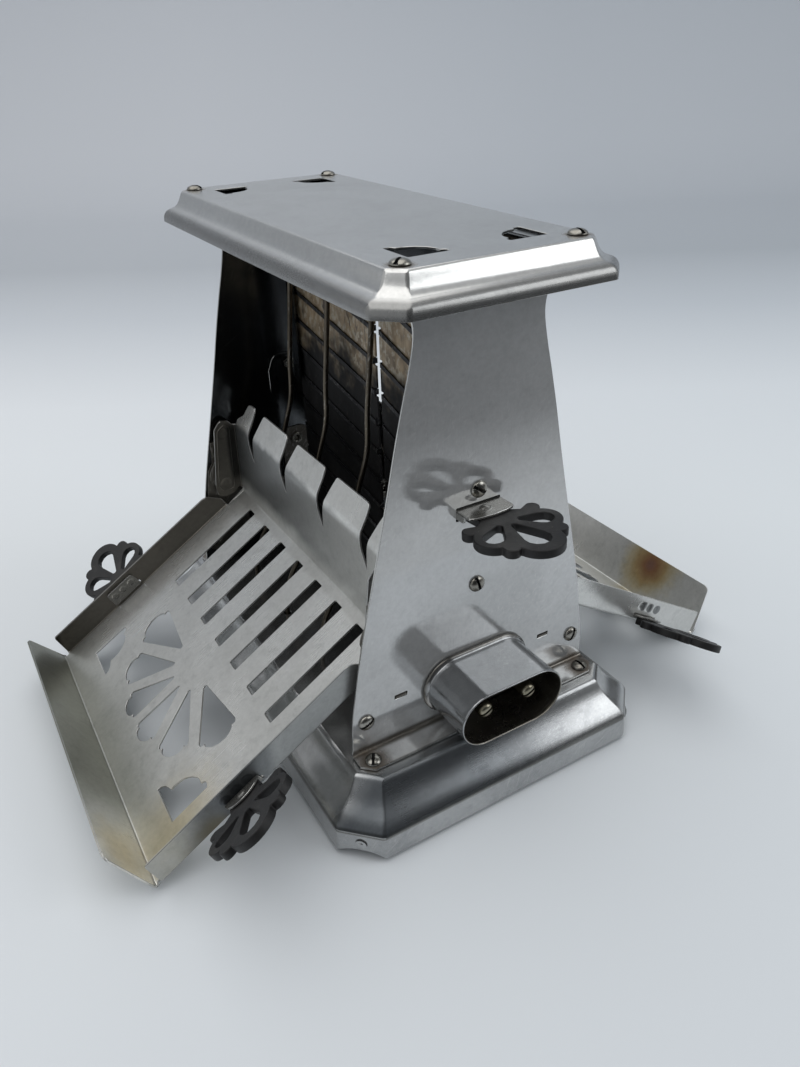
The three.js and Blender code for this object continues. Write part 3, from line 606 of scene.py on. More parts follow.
# %% Smudges: cloudy marks of handling, and finer blotches inside them
def make_smudges():
    outputs = [("Cloud", "float"), ("Blotch", "float")]
    tree, graph, source, sink = new_group("smudges", [("Scale", "float", 22.0)], outputs)
    cloud = graph.noise(source["Place"], source["Scale"], 4.0, 0.55, 0.4)
    fine = graph.noise(source["Place"], graph.math("MULTIPLY", source["Scale"], 9.0), 3.0, 0.6)
    graph.feed(sink, {"Cloud": graph.band(cloud, 0.34, 0.68),
                      "Blotch": graph.band(fine, 0.5, 0.75)})
    return tree


SMUDGES = make_smudges()
print(SMUDGES.name, "has", len(SMUDGES.nodes), "nodes")

# %% Heat stain: straw, brown and blue rings round a hot spot
HEAT_COLOURS = [
    (0.0, (1, 1, 1, 1)), (0.22, (0.86, 0.76, 0.55, 1)), (0.45, (0.66, 0.47, 0.24, 1)),
    (0.66, (0.42, 0.22, 0.12, 1)), (0.82, (0.22, 0.14, 0.2, 1)), (1.0, (0.17, 0.19, 0.33, 1)),
]


def away_from(graph, place, centre):
    return graph.vector("LENGTH", graph.vector("SUBTRACT", place, centre))


def make_heat_stain():
    inputs = [("Centre", "vector", (0, 0, 0)), ("Size", "float", 0.02), ("Heat", "float", 1.0),
              ("Metal", "colour", (0.6, 0.6, 0.6, 1))]
    outputs = [("Tint", "colour"), ("Mask", "float")]
    tree, graph, source, sink = new_group("heat_stain", inputs, outputs)
    away = away_from(graph, source["Place"], source["Centre"])
    rough = graph.noise(source["Place"], 95.0, 4.0, 0.6)
    ragged = graph.math("MULTIPLY_ADD", rough, 0.9, 0.55)
    reach = graph.math("MULTIPLY", graph.math("DIVIDE", away, source["Size"]), ragged)
    heat = graph.math("MULTIPLY", graph.band(reach, 0.0, 1.0, 1.0, 0.0), source["Heat"])
    tint = graph.mix(1.0, source["Metal"], graph.ramp(heat, HEAT_COLOURS), "MULTIPLY")
    graph.feed(sink, {"Tint": tint, "Mask": heat})
    return tree


HEAT_STAIN = make_heat_stain()
print(HEAT_STAIN.name, "has", len(HEAT_STAIN.nodes), "nodes")

# %% Grime: brown film that collects in a ring round a screw
def make_grime():
    inputs = [("Centre", "vector", (0, 0, 0)), ("Inner", "float", 0.002),
              ("Outer", "float", 0.005)]
    tree, graph, source, sink = new_group("grime", inputs, [("Mask", "float")])
    away = away_from(graph, source["Place"], source["Centre"])
    rough = graph.noise(source["Place"], 420.0, 3.0, 0.6)
    away = graph.math("MULTIPLY", away, graph.math("MULTIPLY_ADD", rough, 0.8, 0.6))
    graph.feed(sink, {"Mask": graph.band(away, source["Inner"], source["Outer"], 1.0, 0.0)})
    return tree


GRIME = make_grime()
print("node groups:", [tree.name for tree in bpy.data.node_groups])

# %% [markdown]
# ## Sheet metals
#
# Every sheet starts from the same recipe, `sheet_metal`, which mixes the shared effects and
# leaves the Principled shader in the material. The numbers say how a piece has lived: the
# end plates were polished, the doors were heated, the lid was wiped and the base was shoved.
# %% Sheet metal recipe
def zone_mask(graph, place, bands):
    """One where every band (axis, low, high) is past its high end. |y| means both ends alike."""
    whole, folded = None, graph.vector("ABSOLUTE", place)
    ragged = graph.math("MULTIPLY_ADD", graph.noise(place, 55.0, 3.0, 0.6), 0.006, -0.003)
    for axis, low, high in bands:
        split = graph.add("ShaderNodeSeparateXYZ", {0: folded if axis == "|y|" else place})
        value = split.outputs[axis.strip("|").upper()]
        if abs(high - low) > 0.003:  # a wide, soft band has a ragged edge
            value = graph.math("ADD", value, ragged)
        mask = graph.band(value, low, high)
        whole = mask if whole is None else graph.math("MULTIPLY", whole, mask)
    return whole


def grey(graph, value):
    return graph.add("ShaderNodeCombineColor", {0: value, 1: value, 2: value}).outputs[0]


def sheet_metal(name, colour, dull, roughness, stretch, wear, dents=0.0, haze=0.0,
                zones=(), spots=(), stains=(), grimes=()):
    """An aged metal. Stretch draws out its grain, wear scales scratches and smudges, dents are
    slow waves, and haze is how much it has lost of a metal's mirror. Places that differ are
    zones (bands, shadow, amount), spots (centre, radius, shadow), stains (centre, size, heat)
    and rings of grime round the screws (centre, inner, outer), which fold all corners into one."""
    material, graph, shader, place = new_material(name)
    smudges = use(graph, SMUDGES, place=place)
    scratches = use(graph, SCRATCHES, place=place, amount=wear)["Mask"]
    grain = use(graph, GRAIN, place=place, stretch=stretch)["Height"]
    blotch = graph.math("MULTIPLY", smudges["Blotch"], 0.3 * wear)
    shade = graph.math("MULTIPLY_ADD", smudges["Cloud"], 0.55 * wear, blotch)
    tone = graph.mix(shade, srgb(colour), srgb(dull))
    mottle = graph.band(graph.noise(place, 520.0, 4.0, 0.7), 0.3, 0.7, 0.94, 1.04)
    tone = graph.mix(1.0, tone, grey(graph, mottle), "MULTIPLY")
    tone = graph.mix(graph.math("MULTIPLY", scratches, 0.18), tone, srgb(0xE8E8E6))
    rough = graph.math("MULTIPLY_ADD", smudges["Cloud"], 0.09 * wear, roughness)
    rough = graph.math("MULTIPLY_ADD", graph.math("SUBTRACT", grain, 0.5), 0.08, rough)
    # A zone's shadow is the colour that darkens it: painted shade and painted reflection on the
    # lid, the base and the doors, dirt along the end plates' foot flanges, and a darker root on the
    # shroud.
    for bands, shadow, amount in zones:
        mask = graph.math("MULTIPLY", zone_mask(graph, place, bands), amount)
        tone = graph.mix(mask, tone, srgb(shadow), "MULTIPLY")
        rough = graph.math("MULTIPLY_ADD", mask, 0.06, rough)
    # A spot's shadow is painted shade in the floor of a dimple.
    for centre, radius, shadow in spots:
        mask = graph.band(away_from(graph, place, centre), radius * 1.08, radius * 0.85)
        tone = graph.mix(mask, tone, srgb(shadow), "MULTIPLY")
    for centre, size, heat in stains:
        stain = use(graph, HEAT_STAIN, place=place, centre=centre, size=size, heat=heat, metal=tone)
        tone = stain["Tint"]
        rough = graph.math("MULTIPLY_ADD", stain["Mask"], 0.12, rough)
    for centre, inner, outer in grimes:
        corner = graph.vector("ABSOLUTE", place)
        mask = use(graph, GRIME, place=corner, centre=centre, inner=inner, outer=outer)["Mask"]
        tone = graph.mix(graph.math("MULTIPLY", mask, 0.85), tone, srgb(0x564A3C))
        rough = graph.math("MULTIPLY_ADD", mask, 0.3, rough)
    height = graph.math("MULTIPLY_ADD", scratches, -0.12, grain)
    fine = graph.add("ShaderNodeBump", {"Height": height, "Strength": 0.05, "Distance": 0.0004})
    waves = graph.add("ShaderNodeBump", {
        "Height": graph.noise(place, 14.0, 2.0), "Strength": 1.0, "Distance": 0.0006 * dents,
        "Normal": fine.outputs[0],
    })
    graph.feed(shader, {"Base Color": tone, "Roughness": rough, "Normal": waves.outputs[0],
                        "Metallic": 1.0 - haze})
    return material


print("the sheet metal recipe is ready")

# %% Where the doors are painted darker: painted shade, and the painted shadow of a bracket
def door_zones(out):
    """A door's zones in metres. Out is -1 for the door on the left, 1 for the one on the right."""
    flanges = ("|y|", 0.0722, 0.0714)
    below = ("x", out * 0.0365, out * 0.0342)
    zones = [
        ([("x", out * 0.1290, out * 0.1265), flanges, ("x", out * 0.100, out * 0.128)],
         0xD6D7D3, 1.0),  # the panel, towards the lip
        # The riser is painted darker between 74 and 96.5 mm high, most towards the rear end:
        # painted shade.
        ([("z", 0.066, 0.074), ("z", 0.1000, 0.0965), ("y", -0.090, 0.040), below],
         0x848688, 1.0),  # the riser
        # The fold at the riser's foot is painted a little darker: painted shade.
        ([("z", 0.078, 0.066), below], 0xC8C8C6, 0.5),  # the riser's foot
        # The far flange is painted darker all over: painted shade.
        ([("y", 0.0712, 0.0720)], 0x88847E, 1.0),  # the far flange
    ]
    if out < 0:
        near = ("y", -0.0722, -0.0729)
        zones += [
            # The left door's near flange is painted a little darker, darker again where the
            # handle's bracket stands, and darkest just past it towards the lip: painted shade, and
            # the painted shadow of the bracket and handle.
            ([near], 0xD2D4D6, 1.0),
            ([near, ("x", -0.084, -0.094), ("x", -0.121, -0.108)], 0xA6A8AC, 1.0),
            ([near, ("x", -0.104, -0.097), ("x", -0.078, -0.084)], 0xC4C6C8, 1.0),
            # The lip is painted darker, except near the inlet end: painted shade.
            ([("x", -0.1265, -0.1290), ("y", -0.066, -0.020)], 0xA4A59C, 1.0),  # the lip
        ]
    return zones


def shaded_dimple_floors(shadow, *places):
    """The floors of the weld dimples on a near flange, at (x, z) places, painted darker: painted
    shade.
    """
    return [((x, -0.0732, z), 0.0022, shadow) for x, z in places]


# Painted shade in the dimples' floors, deeper on the right door.
LEFT_DIMPLE_SHADE = shaded_dimple_floors(0xDCDEE0, (-0.09985, 0.02924), (-0.0955, 0.03193), (-0.09127, 0.03457))
RIGHT_DIMPLE_SHADE = shaded_dimple_floors(0xA2A4A6, (0.10129, 0.02834), (0.09694, 0.03103), (0.09271, 0.03367))
print("the left door has", len(door_zones(-1)), "zones and", len(LEFT_DIMPLE_SHADE), "weld spots")

# %% The sheet metals of this toaster
LENGTHWISE, UPRIGHT = (110, 2600, 2600), (2200, 2200, 110)  # which way the grain runs
SLOPE = (("y", -0.083, -0.093), ("z", 0.0114, 0.0122))  # the base's slope at the inlet end

# After a name come colour, dulled colour, roughness, grain, wear and dents. Places are in metres.
MATERIALS = {
    "lid": sheet_metal(
        "lid_aluminium", 0xD8D8D6, 0xAFB0B0, 0.20, (90, 2600, 2600), 0.5, 0.5, haze=0.12,
        # The lid is painted darker below 190.6 mm high, on its skirt: painted shade.
        zones=[([("z", 0.1918, 0.1906)], 0x808080, 0.7)],
        grimes=[((0.0304, 0.0817, 0.1979), 0.0026, 0.0052)]),
    "base": sheet_metal(
        "base_aluminium", 0xBCBDBD, 0x888A8C, 0.18, LENGTHWISE, 0.8, 1.0, haze=0.12,
        # Painted shade along the groove at the base's crease. On the slope at the inlet end,
        # painted shade and painted reflection: darker to the left, and darkest on the left cut
        # corner.
        zones=[([("z", 0.0136, 0.0126), ("z", 0.0104, 0.0114)], 0x8A8680, 0.8),
               ([*SLOPE, ("x", 0.055, -0.015)], 0xA2A6AA, 1.0),
               ([*SLOPE, ("x", -0.046, -0.056)], 0xE4E6E8, 1.0)],
        grimes=[((0.0479, 0.0829, 0.0264), 0.0030, 0.0060)]),
    "plate": sheet_metal(
        "plate_aluminium", 0xC5C6C6, 0xA2A3A2, 0.06, UPRIGHT, 0.6, 0.35, haze=0.35,
        zones=[([("|y|", 0.0864, 0.0871), ("z", 0.030, 0.028)], 0x6E6658, 0.8),
               ([("|y|", 0.0802, 0.0780), ("z", 0.0305, 0.0284)], 0x6E6456, 0.85)],
        grimes=[((0.0479, 0.0829, 0.0276), 0.0030, 0.0085)]),
    "left_door": sheet_metal(
        "left_door_aluminium", 0xE2E2DF, 0xA8A9A6, 0.25, (60, 2400, 60), 0.8, 0.6, haze=0.2,
        zones=door_zones(-1), spots=LEFT_DIMPLE_SHADE,
        stains=[((-0.115, -0.06, 0.012), 0.030, 0.2), ((-0.105, -0.071, 0.018), 0.011, 0.26),
                ((-0.136, -0.058, 0.016), 0.016, 0.16)]),
    "right_door": sheet_metal(
        "right_door_aluminium", 0xE2E2DF, 0xA8A9A6, 0.25, (60, 2400, 60), 0.8, 0.6, haze=0.2,
        zones=door_zones(1), spots=RIGHT_DIMPLE_SHADE, stains=[((0.137, -0.035, 0.019), 0.021, 0.72)]),
    "shroud": sheet_metal(
        "shroud_aluminium", 0xA3A5A7, 0x787A7C, 0.13, (120, 2200, 2200), 0.6, 0.3, haze=0.12,
        zones=[([("y", -0.0794, -0.0783)], 0x9A9284, 0.8)]),
    "bracket": sheet_metal(
        "bracket_aluminium", 0x8E8D89, 0x5E5C57, 0.26, (2200, 120, 2200), 0.4, 0.3, haze=0.2),
}

print("the main metals:", list(MATERIALS))

# %% The plainer metals: grain that is as fine every way
for key, name, *look in (
    # colour, dulled colour, roughness, grain, wear, dents, haze
    # The shroud's inside is its metal made rougher and painted darker: painted shade in the well.
    ("well", "shroud_inside", 0x9A968E, 0x66625C, 0.26, 300, 0.6, 0.6, 0.0),
    ("strap", "strap_metal", 0x6E6B65, 0x403D38, 0.36, 800, 0.8, 0.5, 0.4),
    ("edge", "cut_edge", 0xC0C0BE, 0x929392, 0.22, 400, 0.4, 0.0, 0.0),
    ("screw", "screw_steel", 0xA3A19A, 0x625C52, 0.24, 900, 0.9, 0.0, 0.0),
    ("brass", "terminal_metal", 0xA39E8C, 0x655F4C, 0.28, 900, 0.8, 0.0, 0.0),
    ("ribbon", "heated_ribbon", 0x4A4A4C, 0x1E1C1B, 0.45, 900, 1.0, 0.0, 0.0),
    ("inside", "inside_aluminium", 0x66696C, 0x3C3D3E, 0.16, 300, 0.4, 0.5, 0.0),
    # Under steel is the base plate's dark steel, and it also paints the screws' slots dark: painted
    # shade.
    ("under", "under_steel", 0x2E2E2E, 0x1C1A19, 0.5, 300, 0.8, 0.8, 0.0),
):
    colour, dull, roughness, grain, *rest = look
    MATERIALS[key] = sheet_metal(name, colour, dull, roughness, (grain, grain, grain), *rest)
MATERIALS["wire"] = sheet_metal(
    "guard_wire_steel", 0x6E675C, 0x38322B, 0.34, (1500, 1500, 40), 0.9)
print("sheet metals:", [material.name for material in MATERIALS.values()])

# %% [markdown]
# ## What isn't metal
#
# The handles are pressed fibre, so they stay cool: brown-black, matt, with pale fibre flecks.
# The element is wound on mica, which is flaky: tan higher up, and near black lower down. The
# block behind the inlet pins is dark glazed porcelain.
# %% Fibre, mica and porcelain
def finish(graph, shader, tone, rough, height, strength, distance):
    """Gives a shader its colour, its roughness and a bump, which is what all of these need."""
    sockets = {"Height": height, "Strength": strength, "Distance": distance}
    bump = graph.add("ShaderNodeBump", sockets).outputs[0]
    graph.feed(shader, {"Base Color": tone, "Roughness": rough, "Normal": bump})


def make_fibre(name, main_tone, rubbed, fleck):
    material, graph, shader, place = new_material(name)
    weave = graph.noise(place, 900.0, 3.0, 0.7)
    rub = graph.band(graph.noise(place, 60.0, 3.0, 0.6), 0.45, 0.7)
    tone = graph.mix(rub, srgb(main_tone), srgb(rubbed))
    tone = graph.mix(graph.band(weave, 0.62, 0.74), tone, srgb(fleck))
    finish(graph, shader, tone, graph.math("MULTIPLY_ADD", rub, -0.1, 0.55), weave, 0.35, 0.0002)
    return material


def make_mica():
    material, graph, shader, place = new_material("mica_sheet")

    def stretched(stretch):
        return graph.vector("MULTIPLY", place, stretch)

    height = graph.add("ShaderNodeSeparateXYZ", {0: place}).outputs["Z"]
    drift = graph.math("MULTIPLY_ADD", graph.noise(place, 30.0, 4.0, 0.65), 0.07, height)
    # The card is near black below about 0.14 m high, with a ragged edge.
    darker_below = graph.band(drift, 0.186, 0.166)
    cells = {"Vector": stretched((1, 1, 0.6)), "Scale": 340.0}
    flakes = graph.add("ShaderNodeTexVoronoi", cells).outputs["Distance"]
    speckle = graph.noise(stretched((1, 1, 0.7)), 420.0, 4.0, 0.7)
    streak = graph.noise(stretched((1, 2.2, 0.6)), 60.0, 4.0, 0.65, 1.0)
    tans = [(0.0, srgb(0xAD9A7E)), (0.5, srgb(0x917E64)), (1.0, srgb(0x655641))]
    main_tone = graph.mix(graph.band(speckle, 0.48, 0.62), graph.ramp(flakes, tans), srgb(0xAFA694))
    main_tone = graph.mix(graph.band(streak, 0.56, 0.66), main_tone, srgb(0x4B4139))
    dark_mottle = graph.mix(graph.band(streak, 0.52, 0.68), srgb(0x08080A), srgb(0x1D1C1D))
    dark_mottle = graph.mix(graph.band(speckle, 0.6, 0.72), dark_mottle, srgb(0x332F2B))
    rough = graph.band(darker_below, 0.0, 1.0, 0.38, 0.7)
    finish(graph, shader, graph.mix(darker_below, main_tone, dark_mottle), rough, speckle, 0.5, 0.0003)
    graph.feed(shader, {"Metallic": 0.2})
    return material


def make_porcelain():
    material, graph, shader, place = new_material("dark_porcelain")
    dark_mottle = graph.noise(place, 150.0, 4.0, 0.6)
    tone = graph.mix(graph.band(dark_mottle, 0.4, 0.65), srgb(0x1C1A19), srgb(0x3A352F))
    finish(graph, shader, tone, graph.band(dark_mottle, 0.4, 0.65, 0.35, 0.6), dark_mottle, 0.3, 0.0003)
    return material


def finishes(*keys):
    """A piece's materials: its face, its cut edges, and its back where that differs."""
    return [MATERIALS[key] for key in keys]


MATERIALS["fibre"] = make_fibre("pressed_fibre", 0x1F1F20, 0x2D2C2B, 0x4E4B45)
# The handles' sides and rounded edges take this darker copy of the fibre: painted shade.
MATERIALS["fibre_side_shade"] = make_fibre("fibre_side_shade", 0x0D0D0E, 0x161515, 0x262422)
MATERIALS["mica"] = make_mica()
MATERIALS["porcelain"] = make_porcelain()
print("other finishes:", [material.name for material in finishes("fibre", "mica", "porcelain")])

# %% [markdown]
# ## Base and lid
#
# Both are pressings: one sheet drawn into a low box with cut-off corners. A pressing is a
# stack of outlines at different heights, so each is lofted here through a profile of
# (growth, height) pairs. The top is filled as a blank, because it has holes, and welded on.
# %% Pressing helpers
def octagon(half_x, half_y, cut, radius, lengthwise=10, across=5):
    """A box outline with cut-off, rounded corners. Its count of points never changes."""
    corners = []
    for sx, sy in ((1, 1), (-1, 1), (-1, -1), (1, -1)):
        pair = [(sx * half_x, sy * (half_y - cut), radius),
                (sx * (half_x - cut), sy * half_y, radius)]
        corners.extend(pair if sx * sy > 0 else reversed(pair))
    arcs = rounded(corners, 3)
    loop = []
    for k in range(8):
        arc = arcs[4 * k: 4 * k + 4]
        after = arcs[(4 * k + 4) % 32]
        count = lengthwise if k % 2 else across
        loop.extend(arc)
        loop.extend(arc[-1].lerp(after, (n + 1) / (count + 1)) for n in range(count))
    return loop


def skin(rings):
    """Faces between rings of points that were added in turn."""
    count, faces = len(rings[0]), []
    for start in range(0, count * (len(rings) - 1), count):
        for k in range(count):
            a, b = start + k, start + (k + 1) % count
            faces.append((a, b, b + count, a + count))
    return faces


def face_outwards(piece, open_below=False):
    """Turns faces outwards. A shape that is open below is merged first, and then faces up."""
    edit = bmesh.new()
    edit.from_mesh(piece.data)
    if open_below:
        bmesh.ops.remove_doubles(edit, verts=edit.verts, dist=0.02 * MM)
    bmesh.ops.recalc_face_normals(edit, faces=edit.faces)
    if open_below and sum(face.normal.z * face.calc_area() for face in edit.faces) < 0:
        bmesh.ops.reverse_faces(edit, faces=edit.faces)
    edit.to_mesh(piece.data)
    edit.free()
    return piece


def pressing(name, size, profile, holes, arch=0.0):
    """A drawn sheet, open below. The profile runs from the top edge down: (growth, height).
    An arch lifts the rim in the middle of each cut corner."""
    rings = []
    for grow, height in profile:
        loop = octagon(size["x"] + grow, size["y"] + grow * size["y_rate"],
                       size["cut"] + grow * size["cut_rate"], size["radius"] + 0.12 * grow)
        rings.append([Vector((p.x, p.y, height)) for p in loop])
    grow = profile[-1][0]
    cut = size["cut"] + grow * size["cut_rate"]
    inner_x, inner_y = size["x"] + grow - cut, size["y"] + grow * size["y_rate"] - cut
    for point in rings[-1]:
        if abs(point.x) > inner_x and abs(point.y) > inner_y:
            share = min(1.0, max(0.0, (abs(point.y) - inner_y) / cut))
            point.z += arch * math.sin(math.pi * share) ** 0.7
    points = [p for ring in rings for p in ring]
    flat, cap = blank([p.to_2d() for p in rings[0]], holes)
    faces = skin(rings) + [tuple(len(points) + i for i in face) for face in cap]
    points.extend(Vector((p.x, p.y, profile[0][1])) for p in flat)
    piece = make_piece(name, points, faces, finishes(name, "edge", "inside"))
    face_outwards(piece, open_below=True)
    settle(soften_edges(add_thickness(piece), 0.12))
    return piece


print("a pressing's outline has", len(octagon(50, 90, 5, 1)), "points")

# %% The lid
HOLE = 1.8  # radius of a screw's hole
LID = {"x": 35.5, "y": 87, "cut": 4, "y_rate": 0.95, "cut_rate": 0.506, "radius": 1.6}
LID_PROFILE = [
    (-0.7, 197.9), (-0.2, 197.82), (0.25, 197.5), (0.65, 196.9), (1.2, 195.6), (1.85, 194.1),
    (2.7, 192.8), (3.7, 191.95), (4.8, 191.5), (5.9, 191.1), (6.9, 190.5), (7.6, 189.7),
    (8.05, 188.7), (8.25, 187.6), (8.3, 186.5),
]
VENT = [
    (0.3, 0, 0.6), (14, 0, 0.5), (13.7, 2.3, 0.6), (12.3, 2.9, 0.3), (12.3, 5.4, 2),
    (11.2, 8.0, 2), (8.8, 10.6, 2), (5.6, 12.0, 2), (3.2, 12.3, 0.3), (2.5, 13.8, 0.5),
    (0, 14, 0.5), (0, 0.3, 0.6),
]
VENT_CORNER = (24.3, 75.8)


def four_corners(x, y):
    return [(-x, -y), (x, -y), (-x, y), (x, y)]


COVER_SCREWS = four_corners(30.4, 81.7)


def make_lid():
    holes = [circle(x, y, HOLE) for x, y in COVER_SCREWS]
    for i in (-1, 1):
        for j in (-1, 1):
            holes.append(rounded([(i * (VENT_CORNER[0] - u), j * (VENT_CORNER[1] - v), radius)
                                  for u, v, radius in VENT]))
    lid = pressing("lid", LID, LID_PROFILE, holes)
    return fit(lid, "body", "pressed_aluminium", "top_cover")


print("the lid has", len(make_lid().data.polygons), "faces")

# %% The base
BASE = {"x": 55.7, "y": 91, "cut": 7, "y_rate": 0.992, "cut_rate": 0.442, "radius": 1.2}
BASE_PROFILE = [
    (-0.7, 26.5), (0, 26.4), (0.7, 25.95), (1.35, 25.1), (2.1, 23.8), (3.2, 22.0), (4.8, 20.0),
    (6.7, 18.2), (8.6, 16.7), (10.2, 15.3), (11.5, 13.8), (12.2, 12.6), (12.35, 11.9),
    (12.2, 11.55), (12.3, 11.1), (12.55, 7.0), (12.9, 2.2),
]
FLANGE_SCREWS = four_corners(47.9, 82.9)
WIRE_LEGS = (17.5, 52.4)  # how far from the middle the two legs of a guard wire stand
WIRE_FEET = [(i * 36.2, j * y) for i in (-1, 1) for j in (-1, 1) for y in WIRE_LEGS]
WIRE_HOLE = 1.6  # radius


def make_base():
    holes = [circle(x, y, HOLE) for x, y in FLANGE_SCREWS]
    holes += [circle(x, y, WIRE_HOLE) for x, y in WIRE_FEET]
    base = pressing("base", BASE, BASE_PROFILE, holes, arch=2.5)
    return fit(base, "body", "pressed_aluminium", "base_shell")


print("the base has", len(make_base().data.polygons), "faces")

# %% [markdown]
# ## End plates
#
# Each plate is a blank with a flange turned out at the bottom and another at the top. Its
# sides sweep in as they rise. The outline is drawn on the flat, and the folded path carries
# every point of it round the two bends.
# %% An end plate on the flat
PLATE_FOOT, PLATE_HEAD, PLATE_OUT = 27.6, 196.0, 77.1
BOTTOM_FLANGE, TOP_FLANGE = 10.1, 8.6
PLATE_PATH = FoldedPath(
    [(PLATE_OUT + BOTTOM_FLANGE, PLATE_FOOT), (PLATE_OUT, PLATE_FOOT),
     (PLATE_OUT, PLATE_HEAD), (PLATE_OUT + TOP_FLANGE, PLATE_HEAD)],
    [1.3, 1.3],
)
PLATE_SIDE = [
    (30.0, 52.9), (42.6, 52.1), (56, 49.9), (70, 47.4), (88, 43.4), (105.8, 39.3), (124, 35.2),
    (141.9, 31.4), (156, 28.1), (166, 25.6), (175.4, 23.9), (182, 24.9), (189, 28.6), (194.5, 32.6),
]  # (height, half width)
FACE_SCREWS = [(-46.9, 40.8), (46.9, 40.8), (0, 82.8), (0, 120.5)]  # (x, z)
INLET_MIDDLE = 43  # height of the inlet's axis
ENDS = (("inlet", -1), ("rear", 1))


def climb(z):
    """How far along the flat blank of an end plate a height is."""
    return BOTTOM_FLANGE + (z - PLATE_FOOT)


def plate_blank(inlet):
    """The flat outline and holes of an end plate, as (distance along the path, x)."""
    last = climb(PLATE_HEAD)
    curve = smooth_through([(climb(z), x) for z, x in PLATE_SIDE])
    half = [(0, 49.4), (4, 53.4), (BOTTOM_FLANGE, 53.4), *[(p.x, p.y) for p in curve],
            (last, 33.6), (last + 4.6, 33.6), (last + TOP_FLANGE, 29.6)]
    outer = [Vector(p) for p in half] + [Vector((s, -x)) for s, x in reversed(half)]
    holes = [circle(climb(z), x, HOLE) for x, z in FACE_SCREWS]
    holes += [circle(PLATE_OUT + BOTTOM_FLANGE - y, x, HOLE) for x, y in FLANGE_SCREWS[2:]]
    holes += [circle(last + y - PLATE_OUT, x, HOLE) for x, y in COVER_SCREWS[2:]]
    holes += [box_outline(climb(45.5), climb(47.3), x - 2.6, x + 2.6, 0.3) for x in (-32.3, 32.3)]
    holes.append(box_outline(climb(110.6), climb(115.6), -8.9, 8.9, 0.4))
    if inlet:
        holes.append([Vector((p.y, p.x)) for p in obround(0, climb(INLET_MIDDLE), 20.8, 9.9)][::-1])
    return outer, holes


print("the plate at the inlet has", len(plate_blank(True)[1]), "holes")

# %% Folding the end plates
def make_end_plate(end, side):
    outer, holes = plate_blank(end == "inlet")
    flat, faces = blank(outer, holes, PLATE_PATH.fold_lines(-54, 54))
    points = []
    for s, x in flat:
        (out, z), _ = PLATE_PATH.at(s)
        points.append((x, side * out, z))
    if side < 0:
        faces = backwards(faces)
    looks = finishes("plate", "edge", "inside")
    plate = make_piece(f"end_plate_{end}_skin", points, faces, looks)
    settle(soften_edges(add_thickness(plate)))
    return fit(plate, "body", "polished_plate", f"end_plate_{end}")


for end, side in ENDS:
    plate = make_end_plate(end, side)
    outward = sum(f.normal.y * f.area for f in plate.data.polygons
                  if abs(f.center.y) > (PLATE_OUT - 0.1) * MM)
    print(plate.name, "outer face points along y:", round(outward * 1e4))

# %% [markdown]
# ## Doors
#
# A door is one sheet: lip, panel, riser and tabs along one folded path, with a flange and an
# ear folded up from each side. It is drawn flat, holes and all, then carried onto the path.
# Points past the side fold leave the path and climb its normal instead. The right door is
# the left one turned half round, so one drawing serves both.
# %% The door's side view
LIP_CREASE, PANEL_SLOPE = (-128.1, 4.2), 31.8
LIP, PANEL, RISER, TAB = (22.4, 124.8), (114, PANEL_SLOPE), (33.4, 89.1), (12.6, 64.2)
DOOR_PATH = FoldedPath([walk(LIP_CREASE, [LIP])[1], *walk(LIP_CREASE, [PANEL, RISER, TAB])],
                       [0.7, 1.4, 11.0])
CREASE, TIP = 22.4, 182.4  # how far along the blank the lip ends, and the tabs end
DOOR_HALF, SIDE_FOLD = 73.2, 0.6
SIDE_ROOT = DOOR_HALF - SHEET - SIDE_FOLD  # where the flanges and ears start to fold up
LAST_OF_PANEL = 131  # past here a side climbs from the riser, and not from the panel


def door_point(s, v, lift=0.0):
    """Where a point of the flat blank goes on the left door: through the path, then up a side."""
    over = abs(v) - SIDE_ROOT
    here, normal = DOOR_PATH.at(s)
    if over <= 0:
        here = here + normal * lift
        return (here.x, v, here.y)
    if s < CREASE + 0.9:  # the lip has no flange, so its ends stay flat
        return (here.x, math.copysign(min(abs(v), DOOR_HALF), v), here.y)
    turned = min(over / SIDE_FOLD, math.pi / 2)
    out = SIDE_FOLD * math.sin(turned)
    up = SIDE_FOLD * (1 - math.cos(turned)) + max(0.0, over - SIDE_FOLD * math.pi / 2)
    here, normal = DOOR_PATH.straight(1 if s < LAST_OF_PANEL else 2, s)
    here = here + normal * up
    return (here.x, math.copysign(SIDE_ROOT + out - lift, v), here.y)


print("the side fold starts", round(SIDE_ROOT, 2), "mm from the middle")

# %% The door's outline on the flat
FINGERS = (-WIRE_LEGS[1], -WIRE_LEGS[0], *WIRE_LEGS)  # middles of the slots that pass the wires
FINGER_SLOT = [  # (distance along, across from the finger's middle, radius), round its point
    (TIP, 4.9, 2.2), (178.0, 4.4, 5), (171.4, 4.6, 8), (165.3, 3.7, 6), (158.6, -0.8),
    (165.0, -0.9, 6), (171.4, -1.6, 8), (178.0, -3.4, 6), (TIP, -4.9, 1.4),
]
TAB_END = [(173.05, 71.2, 0.8), (176.6, 66.4, 1.5), (TIP, 64.8, 3.0)]
LIP_EDGE = [(0, 68.2, 2.8), (21.4, 73.1, 0.6), (22.9, 73.1, 0.4), (23.4, 71.4), (24.8, 71.4)]
FLANGE_EDGE = [(25.1, 73.0), (26.6, 82.9, 1.2), (121.4, 82.9, 5), (125.9, 76.4, 3), (126.1, 71.4)]
EAR_EDGE = [
    (137.6, 71.4), (138.2, 73.6, 0.8), (135.5, 76.2, 1.5), (134.8, 80.5, 2), (135.9, 84.4, 2.5),
    (141.9, 84.8, 3), (169.0, 82.2, 3), (173.0, 79.2, 2.5), (172.4, 75.4, 2), (170.2, 73.4),
    (170.4, 71.4),
]


